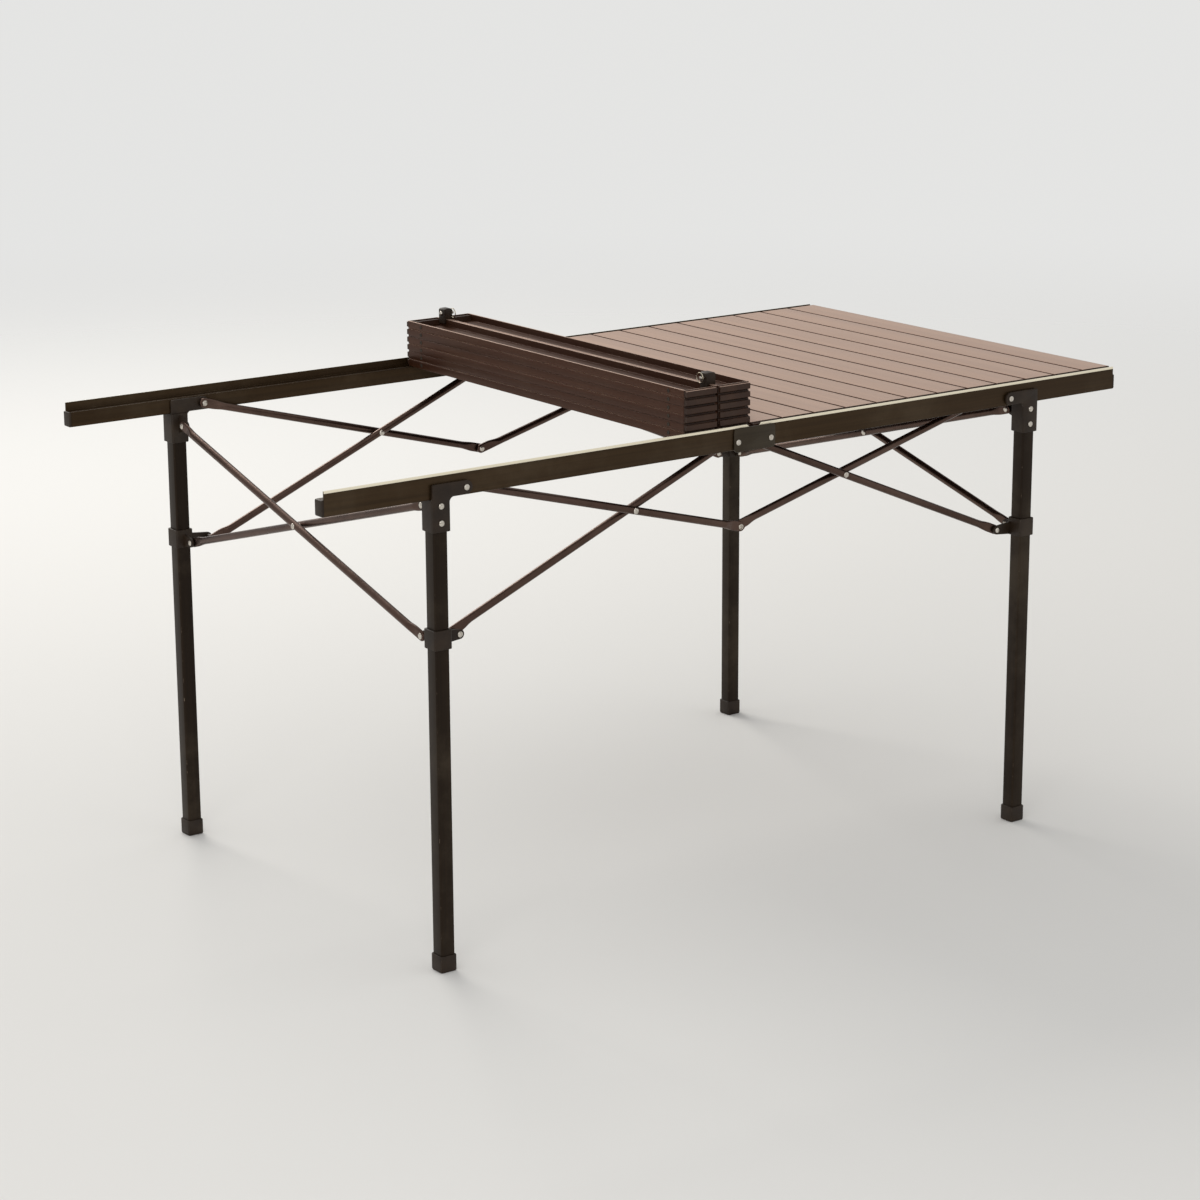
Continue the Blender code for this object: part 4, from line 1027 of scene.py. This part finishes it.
def drawn_grain():
    """Noise at coordinates times across (1 - STRETCH along), which is long in the drawing direction."""
    inputs = {"Across": 900.0, "Along X": 0.0, "Along Y": 1.0, "Along Z": 0.0}
    tree, given, result = new_group("Drawn grain", inputs, ["Streak", "Fine"])
    split = add(tree, "ShaderNodeSeparateXYZ", {0: place_in(tree)}).outputs
    axes = {}
    for n, way in enumerate(WAYS):
        factor = maths(tree, "SUBTRACT", 1.0, maths(tree, "MULTIPLY", given[way], STRETCH))
        axes[n] = maths(tree, "MULTIPLY", split[n], maths(tree, "MULTIPLY", factor, given["Across"]))
    stretched = add(tree, "ShaderNodeCombineXYZ", axes).outputs[0]
    fine = noise(tree, stretched, 1.0, 3.0, 0.6)
    broad = noise(tree, stretched, 0.13, 2.0)
    streak = maths(tree, "ADD", maths(tree, "MULTIPLY", fine, 0.4), maths(tree, "MULTIPLY", broad, 0.6))
    tree.links.new(streak, result["Streak"])
    tree.links.new(fine, result["Fine"])
    return tree


GRAIN = drawn_grain()
print("made group:", GRAIN.name)

# %% Field dust


def field_dust():
    """Mask = amount * film * (0.55 + 0.45 specks): soft patches, a little denser in fine specks."""
    tree, given, result = new_group("Field dust", {"Amount": 0.5, "Size": 9.0}, ["Mask"])
    film = ramp(tree, noise(tree, place_in(tree), given["Size"], 6.0, 0.68), 0.42, 0.72)
    specks = ramp(tree, noise(tree, place_in(tree), 1400.0, 1.0), 0.62, 0.74)
    mixed = maths(tree, "MULTIPLY", film, maths(tree, "ADD", 0.55, maths(tree, "MULTIPLY", specks, 0.45)))
    tree.links.new(maths(tree, "MULTIPLY", mixed, given["Amount"], clamp=True), result["Mask"])
    return tree


DUST = field_dust()
print("made group:", DUST.name)

# %% [markdown]
# ## Finishes
#
# The frame and the slats are drawn aluminium with a satin coat: two near tones
# in streaks, patches of dust that make it rougher and less metallic, and
# corners worn to a paler metal. The mouldings are a matt near-black plastic
# with fine pits. Rivets, bolts and rings are bright steel with faint scuffs.
# Colours are given as they should look, 0 to 255, and turned to linear light.

# %% Helpers for finishes


def linear(red, green, blue):
    """A colour of 0..255 as linear light."""
    c = np.array([red, green, blue]) / 255.0
    return (*np.where(c <= 0.04045, c / 12.92, ((c + 0.055) / 1.055) ** 2.4).tolist(), 1.0)


def mix(tree, factor, a, b):
    """Mix two colours by a mask. A colour's sockets come after those of plain numbers and vectors."""
    return add(tree, "ShaderNodeMix", {0: factor, 6: a, 7: b}, data_type="RGBA").outputs[2]


def use(tree, group, inputs):
    """Place a shader group with its own values and give back its outputs."""
    node = tree.nodes.new("ShaderNodeGroup")
    node.node_tree = group
    for key, value in inputs.items():
        node.inputs[key].default_value = value
    return node.outputs


def new_finish(name):
    """A new material, its tree and its Principled shader."""
    made = bpy.data.materials.new(name)
    made.use_nodes = True
    return made, made.node_tree, made.node_tree.nodes["Principled BSDF"]


def swing(tree, middle, value, amount):
    """A number that goes up and down with a value: middle + amount (value - 0.5)."""
    change = maths(tree, "MULTIPLY", maths(tree, "SUBTRACT", value, 0.5), amount)
    return maths(tree, "ADD", middle, change)


def connect(tree, shader, colour, roughness, height, relief, depth=0.0002):
    """Give a shader its colour, its roughness and a relief from a height."""
    bump = add(tree, "ShaderNodeBump", {"Strength": relief, "Distance": depth, "Height": height})
    for label, socket in {"Base Color": colour, "Roughness": roughness, "Normal": bump.outputs[0]}.items():
        tree.links.new(socket, shader.inputs[label])


print("full white is", linear(255, 255, 255))

# %% Coated aluminium
DUST_TONE = (150, 135, 112)
COAT_SHINE = 0.3


def satin_metal(name, dark, light, bare, metallic, rough, along, wear, dust, across=900.0, relief=0.10):
    """Coated aluminium: streaks along the drawing direction, a film of dust and worn corners."""
    made, tree, shader = new_finish(name)
    grain = use(tree, GRAIN, {"Across": across, **dict(zip(WAYS, along))})
    worn = use(tree, WEAR, {"Amount": wear, "Break up": 110.0})["Mask"]
    film = use(tree, DUST, {"Amount": dust, "Size": 7.0})["Mask"]
    streak = ramp(tree, grain["Streak"], 0.32, 0.68)
    colour = mix(tree, streak, linear(*dark), linear(*light))
    colour = mix(tree, film, colour, linear(*DUST_TONE))
    colour = mix(tree, worn, colour, linear(*bare))
    dulled = maths(tree, "MULTIPLY", film, 0.35)
    roughness = maths(tree, "ADD", swing(tree, rough, streak, 0.10), dulled, clamp=True)
    metal = maths(tree, "MULTIPLY", maths(tree, "SUBTRACT", 1.0, film), metallic, clamp=True)
    connect(tree, shader, colour, roughness, grain["Fine"], relief)
    tree.links.new(metal, shader.inputs["Metallic"])
    shader.inputs["Specular IOR Level"].default_value = COAT_SHINE
    return made


print("coated aluminium ready")

# %% Moulded plastic
PLASTIC_DUST, PLASTIC_RUBBED = (120, 108, 90), (105, 92, 78)
PLASTIC_SHINE = 0.28


def moulded_plastic(name, base, pale, rough, dust):
    """Moulded plastic: fine spark-eroded pits, soft flow marks and rubbed corners."""
    made, tree, shader = new_finish(name)
    pits = noise(tree, place_in(tree), 2600.0, 2.0)
    flow = noise(tree, place_in(tree), 38.0, 3.0)
    rubbed = use(tree, WEAR, {"Amount": 0.45, "Break up": 160.0})["Mask"]
    film = use(tree, DUST, {"Amount": dust, "Size": 12.0})["Mask"]
    colour = mix(tree, ramp(tree, flow, 0.3, 0.7), linear(*base), linear(*pale))
    colour = mix(tree, film, colour, linear(*PLASTIC_DUST))
    colour = mix(tree, maths(tree, "MULTIPLY", rubbed, 0.5), colour, linear(*PLASTIC_RUBBED))
    polished = maths(tree, "MULTIPLY", rubbed, 0.15)
    roughness = maths(tree, "SUBTRACT", swing(tree, rough, pits, 0.25), polished)
    connect(tree, shader, colour, roughness, pits, 0.25)
    shader.inputs["Specular IOR Level"].default_value = PLASTIC_SHINE
    return made


print("moulded plastic ready")

# %% Bright metal
SCUFF_STRETCH = (900.0, 3600.0, 900.0)


def bright_metal(name, base, tarnish, rough):
    """Plated steel: tarnish in patches and fine scuffs along X and Z."""
    made, tree, shader = new_finish(name)
    factors = {0: place_in(tree), 1: SCUFF_STRETCH}
    stretched = add(tree, "ShaderNodeVectorMath", factors, operation="MULTIPLY").outputs[0]
    scuffs = noise(tree, stretched, 1.0, 2.0)
    stain = ramp(tree, noise(tree, place_in(tree), 420.0, 4.0), 0.48, 0.75)
    roughness = maths(tree, "ADD", rough, maths(tree, "MULTIPLY", scuffs, 0.16))
    roughness = maths(tree, "ADD", roughness, maths(tree, "MULTIPLY", stain, 0.2))
    connect(tree, shader, mix(tree, stain, linear(*base), linear(*tarnish)), roughness, scuffs, 0.08, 0.0001)
    shader.inputs["Metallic"].default_value = 1.0
    return made


print("bright metal ready")

# %% [markdown]
# ## All the finishes
#
# The frame is dark bronze, satin and almost black, and the braces are a paler,
# shinier bronze. The slats are brown, and their faces are painted a warm tan as
# if sunlit, while the rails' lip tops are painted with a bright highlight. A
# profile's streaks run along its own length. The braces lie aslant, so theirs
# have no direction.

# %% All finishes
ALONG_X, ALONG_Y, ALONG_Z, NO_WAY = (1, 0, 0), (0, 1, 0), (0, 0, 1), (0, 0, 0)
FRAME_BARE = (168, 150, 132)
FINISHES = {
    "frame_paint": satin_metal(
        "frame_bronze", dark=(50, 36, 20), light=(62, 46, 27), bare=FRAME_BARE,
        metallic=0.60, rough=0.36, along=ALONG_X, wear=0.42, dust=0.12,
    ),
    "leg_paint": satin_metal(
        "leg_bronze", dark=(30, 21, 13), light=(40, 29, 18), bare=FRAME_BARE,
        metallic=0.60, rough=0.38, along=ALONG_Z, wear=0.36, dust=0.16,
    ),
    "brace_paint": satin_metal(
        "brace_bronze", dark=(78, 61, 54), light=(95, 76, 68), bare=(168, 152, 140),
        metallic=0.95, rough=0.30, along=NO_WAY, wear=0.42, dust=0.08, across=60.0, relief=0.03,
    ),
    # The lips' tops: a cream colour that paints the sun's highlight onto the dark bronze.
    "lip_edge": satin_metal(
        "lip_edge", dark=(240, 231, 206), light=(250, 243, 222), bare=(250, 246, 234),
        metallic=0.45, rough=0.30, along=ALONG_X, wear=0.30, dust=0.06,
    ),
    "plate_paint": satin_metal(
        "plate_bronze", dark=(50, 43, 34), light=(62, 54, 43), bare=FRAME_BARE,
        metallic=0.60, rough=0.36, along=ALONG_X, wear=0.50, dust=0.14,
    ),
    "slats": satin_metal(
        "slat_sides", dark=(62, 35, 21), light=(75, 44, 27), bare=(104, 72, 54),
        metallic=0.50, rough=0.42, along=ALONG_Y, wear=0.12, dust=0.05, across=700.0, relief=0.05,
    ),
    # The slats' faces: the slat brown painted up to a tan, as a sunlit top.
    "slat_faces": satin_metal(
        "slat_faces", dark=(176, 148, 132), light=(187, 159, 142), bare=(214, 192, 174),
        metallic=0.30, rough=0.46, along=ALONG_Y, wear=0.25, dust=0.08, across=1300.0, relief=0.06,
    ),
    "slat_ends": moulded_plastic("slat_end_plastic", (46, 27, 18), (57, 35, 23), rough=0.50, dust=0.10),
    "moulded": moulded_plastic("moulded_plastic", (33, 23, 15), (43, 31, 20), rough=0.50, dust=0.14),
    "rivet_steel": bright_metal("rivet_steel", (214, 208, 198), (150, 140, 126), rough=0.20),
    "ring_wire": bright_metal("ring_wire", (205, 196, 176), (140, 124, 98), rough=0.22),
}
for made, finish in PIECES.values():
    made.data.materials.append(FINISHES[finish])
print("finishes:", list(FINISHES))

# %% [markdown]
# ## Painted sunlight on the slats and painted highlights on the lips
#
# The faces of the slats take a tan finish that paints them as sunlit, and the
# walls keep the brown. The tops of the rails' lips are painted with a bright
# highlight. Which face is which follows from its normal and its height.

# %% A second finish by a rule


def faces_of(mesh):
    """The normals and the centres of a mesh's faces."""
    found = []
    for label in ("normal", "center"):
        values = np.empty(len(mesh.polygons) * 3)
        mesh.polygons.foreach_get(label, values)
        found.append(values.reshape(-1, 3))
    return found


def second_finish(name, finish, rule, given):
    """Give a second finish to the faces that a rule chooses by their normals and centres."""
    mesh = PIECES[name][0].data
    mesh.materials.append(FINISHES[finish])
    chosen = rule(*faces_of(mesh), given)
    mesh.polygons.foreach_set("material_index", chosen.astype(np.int32))
    return int(chosen.sum())


def painted_sunlit_skin(normals, centres, number):
    """The outside of a pair's skin, and on the open top pair also the rims of its walls: faces painted tan
    as if sunlit.
    """
    _, bottom, face_down = pair_place(number)
    up, height = normals[:, 2], centres[:, 2]
    outward = -up if face_down else up
    depth = height - bottom if face_down else bottom + SLAT_HEIGHT - height
    chosen = (outward > 0.97) & (depth < 0.0003)
    if number == 1:
        chosen |= (outward < -0.3) & (depth > SLAT_HEIGHT - 0.0006)
    return chosen


def painted_sunlit_plug_tops(normals, centres, number):
    """The upper sides of the end plugs, outside the channels, painted tan as if sunlit."""
    plug_top = pair_place(number)[1] + SLAT_HEIGHT / 2 + TONGUE
    chosen = (normals[:, 2] > 0.5) & (centres[:, 2] > plug_top - 0.0003)
    return chosen & (np.abs(centres[:, 1]) > SLAT_HALF_LENGTH - END_INSET)


def painted_lip_highlight(normals, centres, side):
    """The top of a rail's lip and its outer shoulder, painted with a bright highlight."""
    return (normals[:, 1] * side > -0.5) & (centres[:, 2] > TABLE_HEIGHT - LIP_SHINE)


print("rules ready")

# %% Painted sunlit faces and painted lip highlights
# The tan faces of the slats and the top pair's rims are painted as sunlit.
tan = [second_finish(f"slats_{label}", "slat_faces", painted_sunlit_skin, number) for label, number in PAIRS]
# The upper sides of the top pair's plugs are painted tan as if sunlit.
plugs = second_finish("slat_ends_01", "slat_faces", painted_sunlit_plug_tops, 1)
# The tops of the lips are painted with a bright highlight.
lips = [second_finish(f"side_rail_{corner}", "lip_edge", painted_lip_highlight, side) for corner, side, _ in CORNERS]
print("tan faces:", sum(tan), "plug faces:", plugs, "lip faces:", sum(lips))

# %% [markdown]
# ## Floor, light and background
#
# The studio is plain: a pale floor that fades into a pale background, a soft
# even sky, one large soft lamp from behind, where the low sun stands in the
# photograph, and a weaker one that fills from the front. The view stays
# Standard, so the colours come out as they are written.

# %% Floor
FLOOR_REACH, FADE_FROM, FADE_TO = 9.0, 1.3, 6.5
PALE = (0.78, 0.78, 0.77, 1.0)

floor_mesh = bpy.data.meshes.new("floor")
floor_corners = [(x * FLOOR_REACH, y * FLOOR_REACH, 0) for x, y in ((-1, -1), (1, -1), (1, 1), (-1, 1))]
floor_mesh.from_pydata(floor_corners, [], [(0, 1, 2, 3)])
floor = bpy.data.objects.new("floor", floor_mesh)
bpy.context.scene.collection.objects.link(floor)
floor_finish, tree, shader = new_finish("floor_pale")
shader.inputs["Base Color"].default_value = PALE
shader.inputs["Roughness"].default_value = 0.9
away = add(tree, "ShaderNodeVectorMath", {0: place_in(tree)}, operation="LENGTH").outputs["Value"]
clear = tree.nodes.new("ShaderNodeBsdfTransparent").outputs[0]
fade = {0: ramp(tree, away, FADE_FROM, FADE_TO), 1: shader.outputs[0], 2: clear}
faded = add(tree, "ShaderNodeMixShader", fade).outputs[0]
tree.links.new(faded, tree.nodes["Material Output"].inputs["Surface"])
floor_mesh.materials.append(floor_finish)
print("floor", 2 * FLOOR_REACH, "m wide")

# %% Background
world = bpy.data.worlds.new("studio")
bpy.context.scene.world = world
world.use_nodes = True
tree = world.node_tree
sky = tree.nodes["Background"]
sky.inputs["Color"].default_value = (1.0, 0.99, 0.97, 1.0)
sky.inputs["Strength"].default_value = 0.66
backdrop = add(tree, "ShaderNodeBackground", {"Color": PALE, "Strength": 1.0})
seen = tree.nodes.new("ShaderNodeLightPath").outputs["Is Camera Ray"]
both = add(tree, "ShaderNodeMixShader", {0: seen, 1: sky.outputs[0], 2: backdrop.outputs[0]}).outputs[0]
tree.links.new(both, tree.nodes["World Output"].inputs["Surface"])
print("background ready")

# %% Lamps
AIM, LAMP_SIZE = (0, 0, 0.5), 2.6


def lamp(name, place, power, colour):
    """A square area lamp that looks at the table."""
    data = bpy.data.lights.new(name, "AREA")
    data.size, data.energy, data.color = LAMP_SIZE, power, colour
    made = bpy.data.objects.new(name, data)
    back = np.array(place, float) - np.array(AIM, float)
    back /= np.linalg.norm(back)
    across = np.cross((0.0, 0.0, 1.0), back)
    across /= np.linalg.norm(across)
    set_place(made, across, np.cross(back, across), back, place)
    bpy.context.scene.collection.objects.link(made)


lamp("key", (0.3, 4.3, 3.6), 125, (1.0, 0.96, 0.90))
lamp("fill", (-3.0, -3.0, 2.6), 40, (1.0, 0.98, 0.96))
bpy.context.scene.view_settings.view_transform = "Standard"
print("lamps:", [light.name for light in bpy.data.lights])
